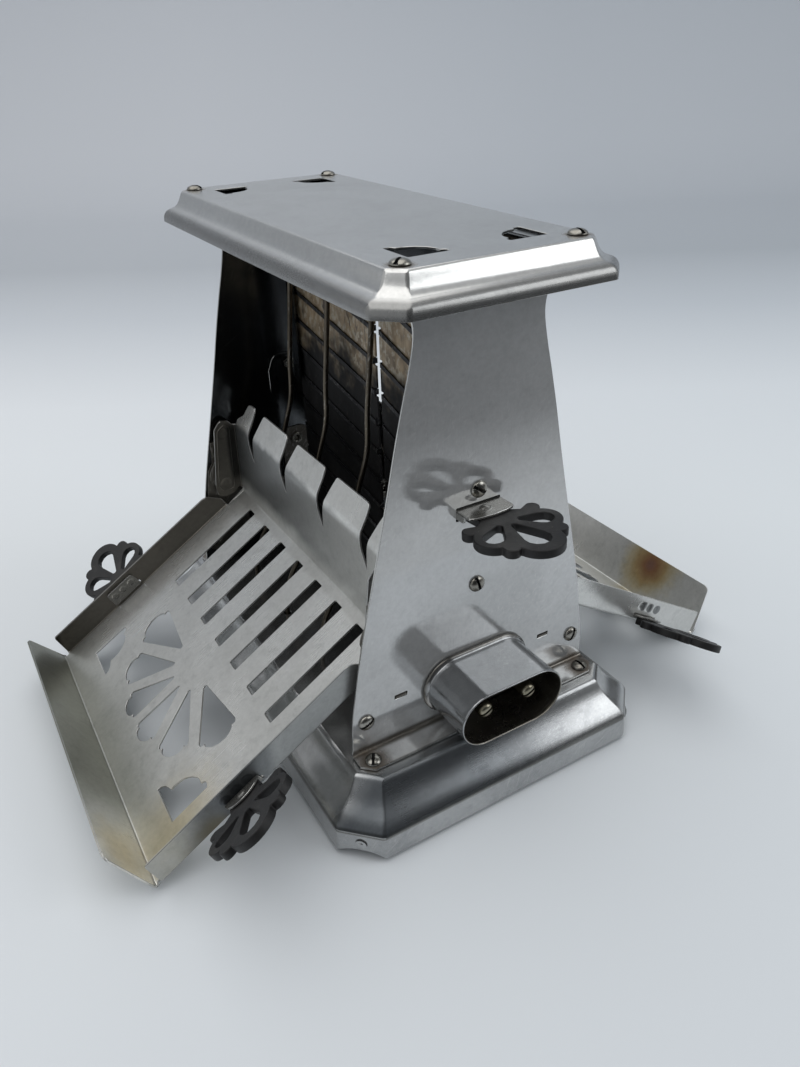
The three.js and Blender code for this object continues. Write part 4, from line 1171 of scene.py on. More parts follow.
def mirrored(edge):
    return [(s, -v, *radius) for s, v, *radius in reversed(edge)]


def door_outline():
    """Round the whole door: one side, the tab edge with four pointed finger slots, the other."""
    slots = [(s, middle + v, *radius)
             for middle in reversed(FINGERS) for s, v, *radius in FINGER_SLOT]
    side = LIP_EDGE + FLANGE_EDGE + EAR_EDGE
    return rounded([*side, *TAB_END, *slots, *mirrored(TAB_END), *mirrored(side)])


print("the door's outline has", len(door_outline()), "points")

# %% The sunburst, the slots and the corner fans
SUNBURST = CREASE + 52.2  # its centre, along the blank
PETALS = ((15.6, 12.4, 33.6, 11.6, 4.2), (46.9, 13.2, 36.8, 11.8, 4.6),
          (78.6, 14.6, 40.2, 12.4, 4.8))  # on one side of the middle, and mirrored on the other
FAN_CORNER = (14.3, 56.2)


def polar(radius, degrees):
    """A point of the blank round the sunburst's centre."""
    t = rad(degrees)
    return Vector((SUNBURST - radius * math.cos(t), radius * math.sin(t)))


def petal(middle, root, end, spread, lobe):
    """One petal: a rounded root, straight sides and a scalloped end. Middle and spread are
    angles; root, end and lobe are distances from the sunburst's centre."""
    root_arc = [(root + 1.0 - 1.0 * math.cos(rad(t)), 3.6 * math.sin(rad(t)))
                for t in range(-80, 81, 20)]
    side = [(end, spread), (end + 1.3, spread - 0.9), (end + 1.5, spread - 2.6)]
    scallop = smooth_through([
        (end + 0.9, spread - 3.4), (end + 2.6, spread - 4.4),
        (end + lobe - 0.5, (spread - 3) * 0.45), (end + lobe, 0),
    ], 3)
    half = side + [(p.x, p.y) for p in scallop]
    other = [(radius, -degrees) for radius, degrees in reversed(half[:-1])]
    return [polar(radius, middle + degrees) for radius, degrees in root_arc + half + other]


def corner_fan(side):
    """A right-angled corner whose long side is scalloped like a petal's end."""
    a0, b0 = FAN_CORNER
    arc = smooth_through([(29.9, 52.4), (29.9, 49.6), (27.8, 46.4), (24.6, 44.2), (20.8, 43.6),
                          (19.0, 43.9)], 3)
    points = [(a0, b0), (31.2, b0 - 0.3), (31.9, b0 - 1.8), (31.5, b0 - 3.3), *arc,
              (18.4, 42.2), (17.6, 40.4), (16.0, 39.0), (a0, 38.6)]
    return [Vector((CREASE + a, side * b)) for a, b in points]


# How a bracket holds each door handle: along the panel, out from the flange, risen above the
# bracket's foot, and then the tilt and twist in degrees. End a is the inlet's end.
SEATS = {("left", "a"): (43.2, 0.6, 3.25, 29.3, 3.5), ("left", "b"): (41.5, 0.0, 0.0, 12, 0.0),
         ("right", "a"): (41.5, 0.0, 0.0, 13, 0.0), ("right", "b"): (41.5, 0.0, 0.0, 13, 0.0)}
SIDES = {"a": -1, "b": 1}


def panel_holes(door):
    """Seven slots, the sunburst, the corner fans, and a slit by each handle's bracket."""
    holes = [box_outline(CREASE + 62.8, CREASE + 110, v - 2.9, v + 2.9, 0.5)
             for v in ((k - 3) * 17.45 for k in range(7))]
    for petal_sizes in PETALS:
        whole = petal(*petal_sizes)
        holes += [whole, [Vector((p.x, -p.y)) for p in whole]]
    holes += [corner_fan(1), corner_fan(-1)]
    for end, side in SIDES.items():
        along = CREASE + SEATS[door, end][0]
        holes.append(box_outline(along - 8, along + 8, side * 73.3, side * 74.8))
    return holes


print("each panel has", len(panel_holes("left")), "holes")

# %% Weld dimples and the blank itself
FLANGE_DIMPLES = [(CREASE + along, side * 78.5, 2.5, 0.22)
                  for side in (-1, 1) for along in (37.2, 42.3, 47.3)]
EAR_DIMPLES = [(s, side * v, 3.0, 0.4)
               for side in (-1, 1) for s, v in ((141.6, 79.6), (166.6, 78.6))]
DOORS = (("left", 0.0), ("right", math.pi))  # and how far each is turned about z


def door_blank(door):
    folds = DOOR_PATH.fold_lines(-71.2, 71.2)
    for side in (-1, 1):
        for k in range(4):
            v = side * (SIDE_ROOT + SIDE_FOLD * math.pi / 2 * k / 3)
            folds += [((CREASE + 3.2, v), (CREASE + 103.4, v)), ((138.4, v), (169.9, v))]
    flat, faces = blank(door_outline(), panel_holes(door), folds, FLANGE_DIMPLES + EAR_DIMPLES)
    points = []
    for s, v in flat:
        lift = dimple_depth((s, v), FLANGE_DIMPLES) - dimple_depth((s, v), EAR_DIMPLES)
        points.append(door_point(s, v, lift))
    return points, faces


def make_door(name, turn):
    points, faces = door_blank(name)
    spin = Matrix.Rotation(turn, 3, "Z")
    looks = finishes(f"{name}_door", "edge")
    door = make_piece(f"{name}_door_skin", [spin @ Vector(p) for p in points], faces, looks)
    settle(soften_edges(add_thickness(door)))
    return fit(door, f"{name}_door", "door_sheet", f"{name}_door_tray")


for name, turn in DOORS:
    door = make_door(name, turn)
    print(door.name, "has", len(door.data.polygons), "faces")

# %% [markdown]
# ## Fan handles
#
# A handle is a flat fibre fan. Its outline is the union of a hub and a few discs, and a
# union seen from its own middle is simply the farthest edge in each direction. That gives
# the sharp notches between lobes that a smooth curve would lose. Three drops are cut out.
# %% The fan's outline
FAN_DISCS = [(0, 29.0, 8.35), (-10.1, 27.7, 2.8), (10.1, 27.7, 2.8), (-10.4, 19.8, 6.6),
             (10.4, 19.8, 6.6), (-13.3, 11.6, 2.7), (13.3, 11.6, 2.7), (0, 16.0, 9.0)]
FAN_HUB = [(-6.6, 1.0), (6.6, 1.0), (6.6, 8.4), (12.4, 12.6), (-12.4, 12.6), (-6.6, 8.4)]
FAN_MIDDLE = Vector((0, 15.0))
FAN_THICKNESS = 3.0


def far_edge(heading):
    """How far the fan's edge is from its middle: the farthest crossing of a disc or the hub."""
    best = 0.0
    for u, v, radius in FAN_DISCS:
        to = Vector((u, v)) - FAN_MIDDLE
        along = to.dot(heading)
        inside = radius**2 - (to.length_squared - along**2)
        if inside > 0:
            best = max(best, along + math.sqrt(inside))
    for a, b in zip(FAN_HUB, [*FAN_HUB[1:], FAN_HUB[0]]):
        a, b = Vector(a) - FAN_MIDDLE, Vector(b) - FAN_MIDDLE
        side = b - a
        cross = heading.x * side.y - heading.y * side.x
        if abs(cross) > 1e-9:
            t = (a.x * side.y - a.y * side.x) / cross
            w = (a.x * heading.y - a.y * heading.x) / cross
            if t > 0 and 0 <= w <= 1:
                best = max(best, t)
    return best


def fan_outline():
    return [FAN_MIDDLE + heading * far_edge(heading) for heading in circle(0, 0, 1, 220)]


DROPS = [teardrop((0, 17.8, 1.1), (0, 28.2, 4.3)), teardrop((-4.8, 15.6, 1.2), (-10.6, 19.8, 3.5)),
         teardrop((4.8, 15.6, 1.2), (10.6, 19.8, 3.5))]
print("a fan has", len(fan_outline()), "points round its edge and", len(DROPS), "drops")

# %% Where the handles sit
FOOT_UP = 0.95  # how far a door bracket's foot is off the panel


def basis(x, y, z, at=(0, 0, 0)):
    """The frame with these axes at a point."""
    columns = Matrix((x, y, z)).transposed().to_4x4()
    columns.translation = at
    return columns


def facing(side):
    """Upright, with y outwards at one end of the toaster."""
    return basis((side, 0, 0), (0, side, 0), (0, 0, 1))


def bracket_frame(name, end):
    """At a door bracket's foot: x along the flange, y outwards, z off the panel."""
    c, s = math.cos(rad(PANEL_SLOPE)), math.sin(rad(PANEL_SLOPE))
    panel = basis((c, 0, s), (0, 1, 0), (-s, 0, c), (LIP_CREASE[0], 0, LIP_CREASE[1]))
    foot = Matrix.Translation((SEATS[name, end][0], SIDES[end] * DOOR_HALF, FOOT_UP))
    return Matrix.Rotation(dict(DOORS)[name], 4, "Z") @ panel @ foot @ facing(SIDES[end])


END_HANDLE, END_TILT = 113.9, 2.8  # height of its root, and how far it rises in degrees


def end_handle_frame(side):
    return Matrix.Translation((0, side * PLATE_OUT, END_HANDLE)) @ facing(side)


HANDLES = []  # (name, body, frame, tilt in degrees, twist in degrees)
for end, side in ENDS:
    twist = 5.0 if end == "inlet" else 0.0
    HANDLES.append((f"end_handle_{end}", "body", end_handle_frame(side), END_TILT, twist))
for (name, end), (_, out, lifted, tilt, twist) in SEATS.items():
    place = bracket_frame(name, end) @ Matrix.Translation((0, out, lifted))
    HANDLES.append((f"{name}_door_handle_{end}", f"{name}_door", place, tilt, twist))


def make_handle(name, body, place, tilt, twist):
    flat, faces = blank(fan_outline(), DROPS)
    turn = place @ Matrix.Rotation(rad(tilt), 4, "X") @ Matrix.Rotation(rad(twist), 4, "Z")
    looks = finishes("fibre", "fibre_side_shade", "fibre")
    handle = make_piece(f"{name}_fan", [turn @ p.to_3d() for p in flat], faces, looks)
    settle(soften_edges(add_thickness(handle, FAN_THICKNESS), 0.35, 2, 30), 50)
    return fit(handle, body, "handle_fibre", name)


for spot in HANDLES:
    handle = make_handle(*spot)
print("made", len(HANDLES), "handles of", len(handle.data.polygons), "faces")

# %% [markdown]
# ## Handle brackets
#
# Each handle is gripped by a thin leaf, riveted through. On the end plates the leaf has
# small side folds and springs from a web behind the plate. On the doors it is the turned-up
# foot of an upright that is welded inside the flange, with three weld dimples.
# %% The end plates' brackets
LEAF_UP = 1.1  # how far a leaf's face is above the handle's
END_LEAF_HALF = 9.0
RIVET = (2.1, 0.75, 1.5)  # radius, height and steepness of the head on an end bracket
LOW_RIVET = (2.1, 0.6, 2)  # and on a door's bracket
HEAD_SPREAD = 4.4  # the square of the distance at which a head is down to nothing


def bracket_part(name, points, faces, place, thickness, metal="bracket"):
    points = [place @ Vector(p) for p in points]
    piece = make_piece(name, points, faces, finishes(metal, "edge"))
    return settle(soften_edges(add_thickness(piece, thickness)))


def rivet_bump(u, v, height, steepness):
    """How high a rivet's head stands, at a distance (u, v) from its middle."""
    return height * max(0.0, 1 - ((u**2 + v**2) / HEAD_SPREAD) ** steepness)


def end_leaf():
    """The plate over an end handle's root, with a bowed front and a raised rivet head."""
    half, start, shoulder, rivet = END_LEAF_HALF, -1.6, 7.7, 4.0
    front = [(half - 1.5, 8.5, 1), (half * 0.5, 9.065), (0, 9.4), (-half * 0.5, 9.065),
             (1.5 - half, 8.5)]
    corners = [(-half, start), (half, start), (half, shoulder, 1.2), *front,
               (-half, shoulder, 1.2)]
    flat, faces = blank(rounded(corners, 3), dimples=[(0, rivet, *RIVET[:2])])
    return [(x, y, LEAF_UP + rivet_bump(x, y - rivet, *RIVET[1:])) for x, y in flat], faces


def make_end_bracket(end, side):
    place = end_handle_frame(side)
    tilt = place @ Matrix.Rotation(rad(END_TILT), 4, "X")
    parts = [bracket_part("leaf", *end_leaf(), tilt, SHEET)]
    fold = rounded([(-1.5, 0.75), (5.0, 0.75, 0.6), (4.4, -2.2, 1.2), (-1.5, -2.2)], 3)
    flat, faces = blank(fold)
    for u, outer in ((-1, backwards(faces)), (1, faces)):
        points = [(u * END_LEAF_HALF, p.x, p.y) for p in flat]
        parts.append(bracket_part("fold", points, outer, tilt, SHEET))
    web = rounded([(-10, -7.4, 2), (10, -7.4, 2), (10, 4.4, 3), (7.2, 11.4, 4), (-7.2, 11.4, 4),
                   (-10, 4.4, 3)])
    flat, faces = blank(web, [circle(0, 6.6, HOLE)])
    points = [(p.x, -1.15, p.y) for p in flat]
    parts.append(bracket_part("web", points, backwards(faces), place, 0.7, "inside"))
    bracket = join_pieces(f"end_bracket_{end}", parts)
    return fit(bracket, "body", "pressed_aluminium", f"end_handle_bracket_{end}")


for end, side in ENDS:
    bracket = make_end_bracket(end, side)
print("an end bracket has", len(bracket.data.polygons), "faces")

# %% The doors' brackets
LEAF_HALF = 7.4


def bent_leaf(out, lifted, tilt):
    """A bracket's foot and leaf, folded from one strip. Its top face has the rivet's head on it."""
    c, s = math.cos(rad(tilt)), math.sin(rad(tilt))

    def over(reach):
        return (out + reach * c - LEAF_UP * s, lifted + reach * s + LEAF_UP * c)

    if lifted:
        root = over((0.3 - out + LEAF_UP * s) / c)
        path = FoldedPath([(-1.5, LEAF_UP), (0.3, LEAF_UP), root, over(8.4)], [0.3, 1.6])
    else:
        bend = LEAF_UP * math.tan(rad(tilt) / 2)
        path = FoldedPath([(-1.5, LEAF_UP), over(bend), over(7.2)], [1.0])
    root, tip = path.starts[-2] + 1.0, path.starts[-1]
    rivet = tip - (4.4 if lifted else 3.3)
    arc = [(root + (tip - root) * math.cos(rad(k)), LEAF_HALF * math.sin(rad(k)))
           for k in range(-84, 85, 12)]
    outline = [(0, LEAF_HALF), (0, -LEAF_HALF), (root, -LEAF_HALF), *arc, (root, LEAF_HALF)]
    flat, faces = blank([Vector(p) for p in outline], dimples=[(rivet, 0, *LOW_RIVET[:2])],
                        folds=path.fold_lines(-LEAF_HALF, LEAF_HALF))
    points = []
    for along, u in flat:
        (v, z), normal = path.at(along)
        head = rivet_bump(along - rivet, u, *LOW_RIVET[1:])
        points.append((-u, v + normal.x * head, z + normal.y * head))
    return points, faces


def make_door_bracket(name, end):
    place = bracket_frame(name, end)
    parts = [bracket_part("leaf", *bent_leaf(*SEATS[name, end][1:4]), place, 0.7)]
    outline = rounded([(-7.7, 0.3), (7.7, 0.3), (7.7, 7.6, 1.5), (-7.7, 7.6, 1.5)], 3)
    dimples = [(u, 4.4, 2.0, 0.5) for u in (-4.8, 0, 4.8)]
    flat, faces = blank(outline, dimples=dimples)
    points = [(p.x, -1.9 + dimple_depth(p, dimples), p.y) for p in flat]
    parts.append(bracket_part("upright", points, faces, place, 0.75))
    node = f"{name}_door_handle_bracket_{end}"
    bracket = join_pieces(f"{node}_plate", parts)
    return fit(bracket, f"{name}_door", "pressed_aluminium", node)


for name, end in SEATS:
    bracket = make_door_bracket(name, end)
print("a door bracket has", len(bracket.data.polygons), "faces")

# %% [markdown]
# ## Inlet
#
# The shroud is a drawn sleeve with a rolled bead where it meets the plate and a rounded
# mouth. It is lofted from slot-shaped rings: outside, over the mouth, and back down inside.
# The two pins are turned rods with a domed tip, split so that they spring in the plug.
# %% Shroud
SHROUD_LONG, SHROUD_HIGH = 21.9, 11  # half of the sleeve's length and of its height
SHROUD_PROFILE = [  # (distance out, growth), from the bead to the mouth and back inside
    (77.4, 1.1), (77.5, 1.35), (77.9, 1.5), (78.4, 1.35), (78.8, 0.85), (79.1, 0.35),
    (79.6, 0.1), (81.0, 0.0), (84.0, 0.0), (92.0, 0.0), (98.6, 0.0), (100.4, 0.12),
    (100.9, 0.15), (101.2, 0.0), (101.3, -0.2), (101.2, -0.42), (100.8, -0.55), (99.0, -0.6),
    (92.0, -0.7), (84.0, -0.8), (78.4, -0.8), (77.4, -0.5),
]


def make_shroud():
    rings = []
    for out, grow in SHROUD_PROFILE:
        loop = obround(0, INLET_MIDDLE, SHROUD_LONG + grow, SHROUD_HIGH + grow, 18)
        rings.append([Vector((p.x, -out, p.y)) for p in loop])
    points = [p for ring in rings for p in ring]
    faces = [tuple(i % len(points) for i in face) for face in skin([*rings, rings[0]])]
    shroud = face_outwards(make_piece("shroud", points, faces, finishes("shroud", "well")))
    axis = Vector((0, 0, INLET_MIDDLE)) * MM
    # Faces inside the sleeve take the second material, painted darker: painted shade.
    for face in shroud.data.polygons:
        inward = face.normal.dot(face.center - axis) < face.normal.y * face.center.y
        face.material_index = int(inward)
    settle(shroud, 60)
    return fit(shroud, "body", "polished_plate", "inlet_shroud")


print("the shroud has", len(make_shroud().data.polygons), "faces")

# %% Pins
def turned(profile, sides):
    """A turned shape about +Z from (radius, height) pairs, closed at both ends."""
    points, faces = [Vector((0, 0, profile[0][1]))], []
    for radius, height in profile:
        points.extend(Vector((*p, height)) for p in circle(0, 0, radius, sides))
    points.append(Vector((0, 0, profile[-1][1])))
    for k in range(sides):
        n = (k + 1) % sides
        faces.append((0, 1 + n, 1 + k))
        for r in range(len(profile) - 1):
            a = 1 + r * sides
            faces.append((a + k, a + n, a + sides + n, a + sides + k))
        last = 1 + (len(profile) - 1) * sides
        faces.append((last + k, last + n, len(points) - 1))
    return points, faces


def cut_slot(piece, half_width, low, high, place=Matrix()):
    """Cuts a straight slot from low to high through a turned piece, along its own x."""
    corners = [(x, y, z) for z in (low, high) for y in (-half_width, half_width) for x in (-9, 9)]
    box = [(0, 2, 3, 1), (4, 5, 7, 6), (0, 1, 5, 4), (2, 6, 7, 3), (0, 4, 6, 2), (1, 3, 7, 5)]
    tool = make_piece("slot_tool", [place @ Vector(corner) for corner in corners], box)
    cutter = piece.modifiers.new("slot", "BOOLEAN")
    cutter.object, cutter.operation, cutter.solver = tool, "DIFFERENCE", "EXACT"
    settle(piece, 45)
    bpy.data.objects.remove(tool)
    return piece


PIN_SPREAD, PIN_HEIGHT = 9.5, 43.7  # how far a pin is from the middle, and how high
PIN_SLOT = (0.55, 12, 23)  # half width, and from where to where along the pin
PIN_PROFILE = [(3.0, -11), (3.0, 19.2), (2.85, 20.2), (2.45, 20.95), (1.8, 21.35), (0.9, 21.5)]


def make_pin(end, side):
    place = basis((1, 0, 0), (0, 0, 1), (0, -1, 0), (side * PIN_SPREAD, -PLATE_OUT, PIN_HEIGHT))
    points, faces = turned(PIN_PROFILE, 28)
    pin = make_piece(f"pin_{end}", [place @ p for p in points], faces, [MATERIALS["brass"]])
    cut_slot(pin, *PIN_SLOT, place @ Matrix.Rotation(rad(25), 4, "Z"))
    return fit(pin, "body", "terminal_brass", f"inlet_pin_{end}")


for end, side in (("left", -1), ("right", 1)):
    pin = make_pin(end, side)
print("each pin has", len(pin.data.polygons), "faces")

# %% [markdown]
# ## Fasteners
#
# Sixteen screws, the eight nuts behind those in the end plates and the four rivets of the base
# repeat, so Geometry Nodes make them. One head is modelled, a cloud of points says where the
# others go, and the two values stored on each point, `aim` and `turn`, say which way a head
# faces and how far its slot was driven. The tree ends in Realize Instances and Set Material,
# so what is left is a plain mesh.
# %% Geometry Nodes helpers
def new_tree(name, **inputs):
    """A Geometry Nodes tree with named inputs, each given as the kind of its socket."""
    tree = bpy.data.node_groups.new(name, "GeometryNodeTree")
    for label, kind in inputs.items():
        tree.interface.new_socket(label, in_out="INPUT", socket_type=f"NodeSocket{kind}")
    tree.interface.new_socket("Geometry", in_out="OUTPUT", socket_type="NodeSocketGeometry")
    graph = Graph(tree)
    return tree, graph, graph.add("NodeGroupInput").outputs, graph.add("NodeGroupOutput")


def run_tree(piece, tree, smooth, **values):
    """Runs a tree on a piece, and leaves a plain mesh. Inputs are set by their identifiers."""
    nodes = piece.modifiers.new(tree.name, "NODES")
    nodes.node_group = tree
    for item in tree.interface.items_tree:
        if item.name in values:
            nodes[item.identifier] = values[item.name]
    return settle(piece, smooth)


print("tree helpers are ready")

# %% A tree that fastens one shape at every point
def fastener_tree():
    tree, graph, source, sink = new_tree("fasteners", Points="Geometry", Shape="Object",
                                         Size="Float", Finish="Material", Groove="Material")

    def stored(name, kind):
        kind = {"data_type": kind}
        return graph.add("GeometryNodeInputNamedAttribute", {"Name": name}, **kind).outputs[0]

    aim = {"Vector": stored("aim", "FLOAT_VECTOR")}
    turn = {"Axis": (0, 0, 1), "Angle": stored("turn", "FLOAT")}
    aimed = graph.add("FunctionNodeAlignRotationToVector", aim, axis="Z").outputs[0]
    spin = graph.add("FunctionNodeAxisAngleToRotation", turn).outputs[0]
    rotation = graph.add("FunctionNodeRotateRotation", {"Rotation": aimed, "Rotate By": spin},
                         rotation_space="LOCAL").outputs[0]
    shape = graph.add("GeometryNodeObjectInfo", {"Object": source["Shape"]}).outputs["Geometry"]
    placed = graph.add("GeometryNodeInstanceOnPoints", {
        "Points": source["Points"], "Instance": shape, "Rotation": rotation,
        "Scale": source["Size"],
    }).outputs[0]
    real = graph.add("GeometryNodeRealizeInstances", {"Geometry": placed}).outputs[0]
    coated = graph.add("GeometryNodeSetMaterial", {
        "Geometry": real, "Material": source["Finish"],
    }).outputs[0]
    # The faces in a screw's slot get a dark material: painted shade.
    both = graph.add("GeometryNodeSetMaterial", {
        "Geometry": coated, "Selection": stored("in_slot", "BOOLEAN"),
        "Material": source["Groove"],
    }).outputs[0]
    graph.feed(sink, {"Geometry": both})
    return tree


FASTENERS = fastener_tree()


def fasten(name, spots, shape, material):
    """Puts a shape at every spot (x, y, z, aim, turn in degrees) and removes the shape."""
    piece = make_piece(name, [spot[:3] for spot in spots], [], [material])
    aims = piece.data.attributes.new("aim", "FLOAT_VECTOR", "POINT")
    for k, spot in enumerate(spots):
        aims.data[k].vector = spot[3]
    turns = piece.data.attributes.new("turn", "FLOAT", "POINT")
    for k, spot in enumerate(spots):
        turns.data[k].value = rad(spot[4])
    run_tree(piece, FASTENERS, 40, Shape=shape, Size=1.0, Finish=material,
             Groove=MATERIALS["under"])
    bpy.data.objects.remove(shape)
    return piece


print("fastener tree has", len(FASTENERS.nodes), "nodes")

# %% Screws
HEAD_PROFILE = [(1.45, -3.6), (1.45, -0.1), (3.0, -0.1), (3.1, 0.1), (3.05, 0.4), (2.7, 0.85),
                (2.1, 1.2), (1.3, 1.45), (0.6, 1.52)]
HEAD_SLOT = (0.5, 0.45, 3)  # half width, and from where to where up the head
FLANGE_SEAT, COVER_SEAT, PLATE_SEAT = 27.85, 198.15, 77.35  # where the heads bear


def screw_head():
    """A domed head with a driven slot, standing on z = 0."""
    points, faces = turned(HEAD_PROFILE, 26)
    head = make_piece("screw_head", points, faces, [MATERIALS["screw"]])
    cut_slot(head, *HEAD_SLOT)
    # The slot's faces are marked, to be painted dark as painted shade.
    marks = head.data.attributes.new("in_slot", "BOOLEAN", "FACE")
    for face in head.data.polygons:
        middle = face.center / MM
        marks.data[face.index].value = abs(middle.y) < 0.52 and middle.z > 0.3
    return head


def make_screws():
    up, spots, replaced = (0, 0, 1), [], []
    for k, (x, y) in enumerate(FLANGE_SCREWS):
        spots.append((x, y, FLANGE_SEAT, up, 60 + 35 * k))
        replaced.append(f"flange_screw_{k + 1}")
    for k, (x, y) in enumerate(COVER_SCREWS):
        spots.append((x, y, COVER_SEAT, up, 35 + 50 * k))
        replaced.append(f"cover_screw_{k + 1}")
    for end, side in ENDS:
        for k, (x, z) in enumerate(FACE_SCREWS):
            spots.append((x, side * PLATE_SEAT, z, (0, side, 0), 25 + 40 * k))
            replaced.append(f"plate_screw_{end}_{k + 1}")
    screws = fasten("screws", spots, screw_head(), MATERIALS["screw"])
    return fit(screws, "body", "screw_metal", *replaced)


print("screws have", len(make_screws().data.polygons), "faces")


# %% Nuts and rivets
NUT_RADIUS, NUT_HEIGHT = 2.9, 1.8
NUT_SEAT = 74.9  # how far out the nuts sit, behind the plates
BAND_RIVET = (62.25, 97.45, 7.0)  # where the band's rivet is in the corner at +x, +y


def make_nuts():
    """A hexagon nut behind each screw of the end plates."""
    flat, faces = blank(circle(0, 0, NUT_RADIUS, 6), [circle(0, 0, NUT_RADIUS / 2, 14)])
    nut = make_piece("nut_shape", [(p.x, p.y, NUT_HEIGHT + 0.1) for p in flat], faces)
    settle(soften_edges(add_thickness(nut, NUT_HEIGHT), 0.2))
    spots = [(x, side * NUT_SEAT, z, (0, -side, 0), 12 * k)
             for side in (-1, 1) for k, (x, z) in enumerate(FACE_SCREWS)]
    return fit(fasten("nuts", spots, nut, MATERIALS["screw"]), "body", "screw_metal")


def make_band_rivets():
    """A low rivet in each cut corner of the base's band."""
    dome = [(2.2, 0), (2.25, 0.12), (1.9, 0.2), (1.5, 0.22), (1.35, 0.4), (0.9, 0.6), (0.4, 0.66)]
    rivet = settle(make_piece("rivet_shape", *turned(dome, 20)))
    lean = Vector((1, 1, 0.05)).normalized()
    x, y, z = BAND_RIVET
    spots = [(i * x, j * y, z, (i * lean.x, j * lean.y, lean.z), 0)
             for i in (-1, 1) for j in (-1, 1)]
    rivets = fasten("band_rivets", spots, rivet, MATERIALS["base"])
    return fit(rivets, "body", "pressed_aluminium")


print("made", make_nuts().name, "and", make_band_rivets().name)

# %% [markdown]
# ## Heat baffle
#
# Under the lid a plain sheet keeps the heat of the element from it. It has darkened all over,
# and through the four vents it is all that shows. Its two long edges are turned down.
# %% Baffle
BAFFLE_HALF, BAFFLE_SHEET = 75.2, 0.6  # half its length, and its thickness


def make_baffle():
    path = FoldedPath([(-31.5, 184.6), (-30.2, 188.6), (30.2, 188.6), (31.5, 184.6)], [1.5, 1.5])
    outline = box_outline(0, path.starts[-1], -BAFFLE_HALF, BAFFLE_HALF)
    flat, faces = blank(outline, [], path.fold_lines(-BAFFLE_HALF, BAFFLE_HALF))
    points = [(path.at(s)[0].x, y, path.at(s)[0].y) for s, y in flat]
    baffle = make_piece("heat_baffle", points, faces, [MATERIALS["inside"]])
    settle(soften_edges(add_thickness(baffle, BAFFLE_SHEET)))
    return fit(baffle, "body", "under_plate")


print(make_baffle().name)

# %% [markdown]
# ## Guard wires
#
# The wires keep bread off the element. Each is a hairpin of drawn wire that follows a path,
# which is the other thing Geometry Nodes are good at: a curve, resampled to an even step,
# becomes a tube of a named radius.
# %% A tree that draws wire along a path
def wire_tree():
    tree, graph, source, sink = new_tree("drawn_wire", Path="Geometry", Radius="Float",
                                         Step="Float", Finish="Material")
    curve = graph.add("GeometryNodeMeshToCurve", {"Mesh": source["Path"]}).outputs[0]
    even = graph.add("GeometryNodeResampleCurve", {"Curve": curve, "Length": source["Step"]},
                     mode="LENGTH").outputs[0]
    section = graph.add("GeometryNodeCurvePrimitiveCircle", {
        "Resolution": 14, "Radius": source["Radius"],
    }).outputs[0]
    tube = graph.add("GeometryNodeCurveToMesh", {
        "Curve": even, "Profile Curve": section, "Fill Caps": True,
    }).outputs[0]
    real = graph.add("GeometryNodeRealizeInstances", {"Geometry": tube}).outputs[0]
    coated = graph.add("GeometryNodeSetMaterial", {
        "Geometry": real, "Material": source["Finish"],
    }).outputs[0]
    graph.feed(sink, {"Geometry": coated})
    return tree


WIRE_TREE = wire_tree()
WIRE_STEP = 1.6  # from ring to ring


def draw_wires(name, paths, radius, material):
    """Tubes along open paths of points, as one plain mesh."""
    points, edges = [], []
    for path in paths:
        edges.extend((len(points) + k, len(points) + k + 1) for k in range(len(path) - 1))
        points.extend(path)
    piece = make_piece(name, points, [], [material], edges)
    return run_tree(piece, WIRE_TREE, 60, Radius=radius * MM, Step=WIRE_STEP * MM,
                    Finish=material)


print("wire tree has", len(WIRE_TREE.nodes), "nodes")

# %% The four hairpins
WIRE_RADIUS = 1.08
WIRE_LEG = [  # (x, z) up one leg
    (36.2, 23.6), (35.7, 34.7), (32.3, 45.5), (27.1, 54.2), (22.9, 63), (20.9, 73), (18.2, 84.5),
    (14.1, 98.9), (9.6, 113.5), (8.4, 130), (5.1, 161.4), (4.7, 172), (4.6, 177),
]


def hairpin(side, half):
    """Up one leg, over the crown and down the other, at one door and one half of its length."""
    legs = [[Vector((side * x, half * y, z)) for x, z in WIRE_LEG] for y in WIRE_LEGS]
    crown = [Vector((side * 4.5, half * y, 180)) for y in (22.5, 34.95, 47.4)]
    return smooth_through([*legs[0], *crown, *reversed(legs[1])], 5)


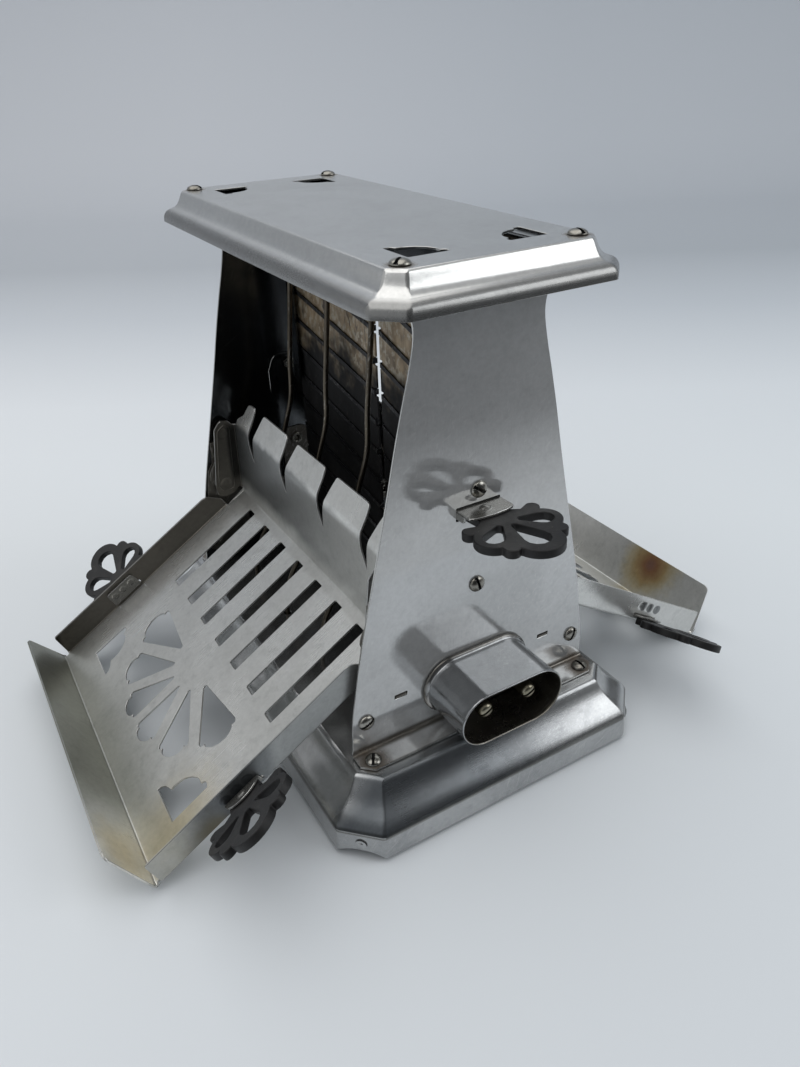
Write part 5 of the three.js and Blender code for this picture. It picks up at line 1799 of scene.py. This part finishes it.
def make_guard_wires():
    paths = [hairpin(side, half) for side in (-1, 1) for half in (-1, 1)]
    wires = draw_wires("guard_wires", paths, WIRE_RADIUS, MATERIALS["wire"])
    replaced = [f"guard_wire_{side}_{end}" for side in ("left", "right")
                for end in ("front", "rear")]
    return fit(wires, "body", "wire_steel", *replaced)


print("guard wires have", len(make_guard_wires().data.polygons), "faces")

# %% Beads on the ears
BEAD_RADIUS = 0.32
EAR_BEAD = [(138.6, 75.6, 1.2), (137.4, 81.2, 2.0), (141.0, 83.2, 2.5), (168.4, 80.8, 2.0),
            (171.4, 76.2, 2.0), (168.6, 74.9, 0.8)]


def make_ear_beads(name, turn):
    """A thin raised bead stiffens each ear. It follows the ear's edge, a little inside it."""
    spin, loop = Matrix.Rotation(turn, 3, "Z"), rounded(EAR_BEAD)
    paths = [[spin @ Vector(door_point(p.x, side * p.y, 0.05)) for p in [*loop, loop[0]]]
             for side in (-1, 1)]
    beads = draw_wires(f"{name}_ear_beads", paths, BEAD_RADIUS, MATERIALS[f"{name}_door"])
    return fit(beads, f"{name}_door", "door_sheet")


print("made", [make_ear_beads(name, turn).name for name, turn in DOORS])

# %% [markdown]
# ## Pieces that stay as the frame has them
#
# The hinge brackets and straps, and the rails, cards, windings and leads inside, are already
# the right shape, and most are seen only through slots. They keep their frame meshes and take
# a full material.
# %% Materials for the frame's own pieces
LOOKS = {  # the first part of a node's name that fits says which finish it has
    "hinge_bracket": "strap", "element_rail": "inside", "element_holder": "inside",
    "mica_card": "mica", "heating_winding": "ribbon", "winding_link": "brass",
    "lead_strip": "brass", "base_plate": "under", "inlet_insulator": "porcelain",
    "end_handle_bracket": "base", "inlet_shroud": "plate", "inlet_pin": "brass",
    "guard_wire": "wire", "hinge_strap": "strap", "handle_bracket": "base", "handle": "fibre",
    "door_tray": "left_door", "screw": "screw",
}


def paint(node, material):
    if not node.material_slots:
        node.data.materials.append(material)
    for slot in node.material_slots:
        slot.material = material


for name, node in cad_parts.items():
    look = next((look for part, look in LOOKS.items() if part in name), "base")
    paint(node, MATERIALS[look])
print("painted", len(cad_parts), "frame nodes")
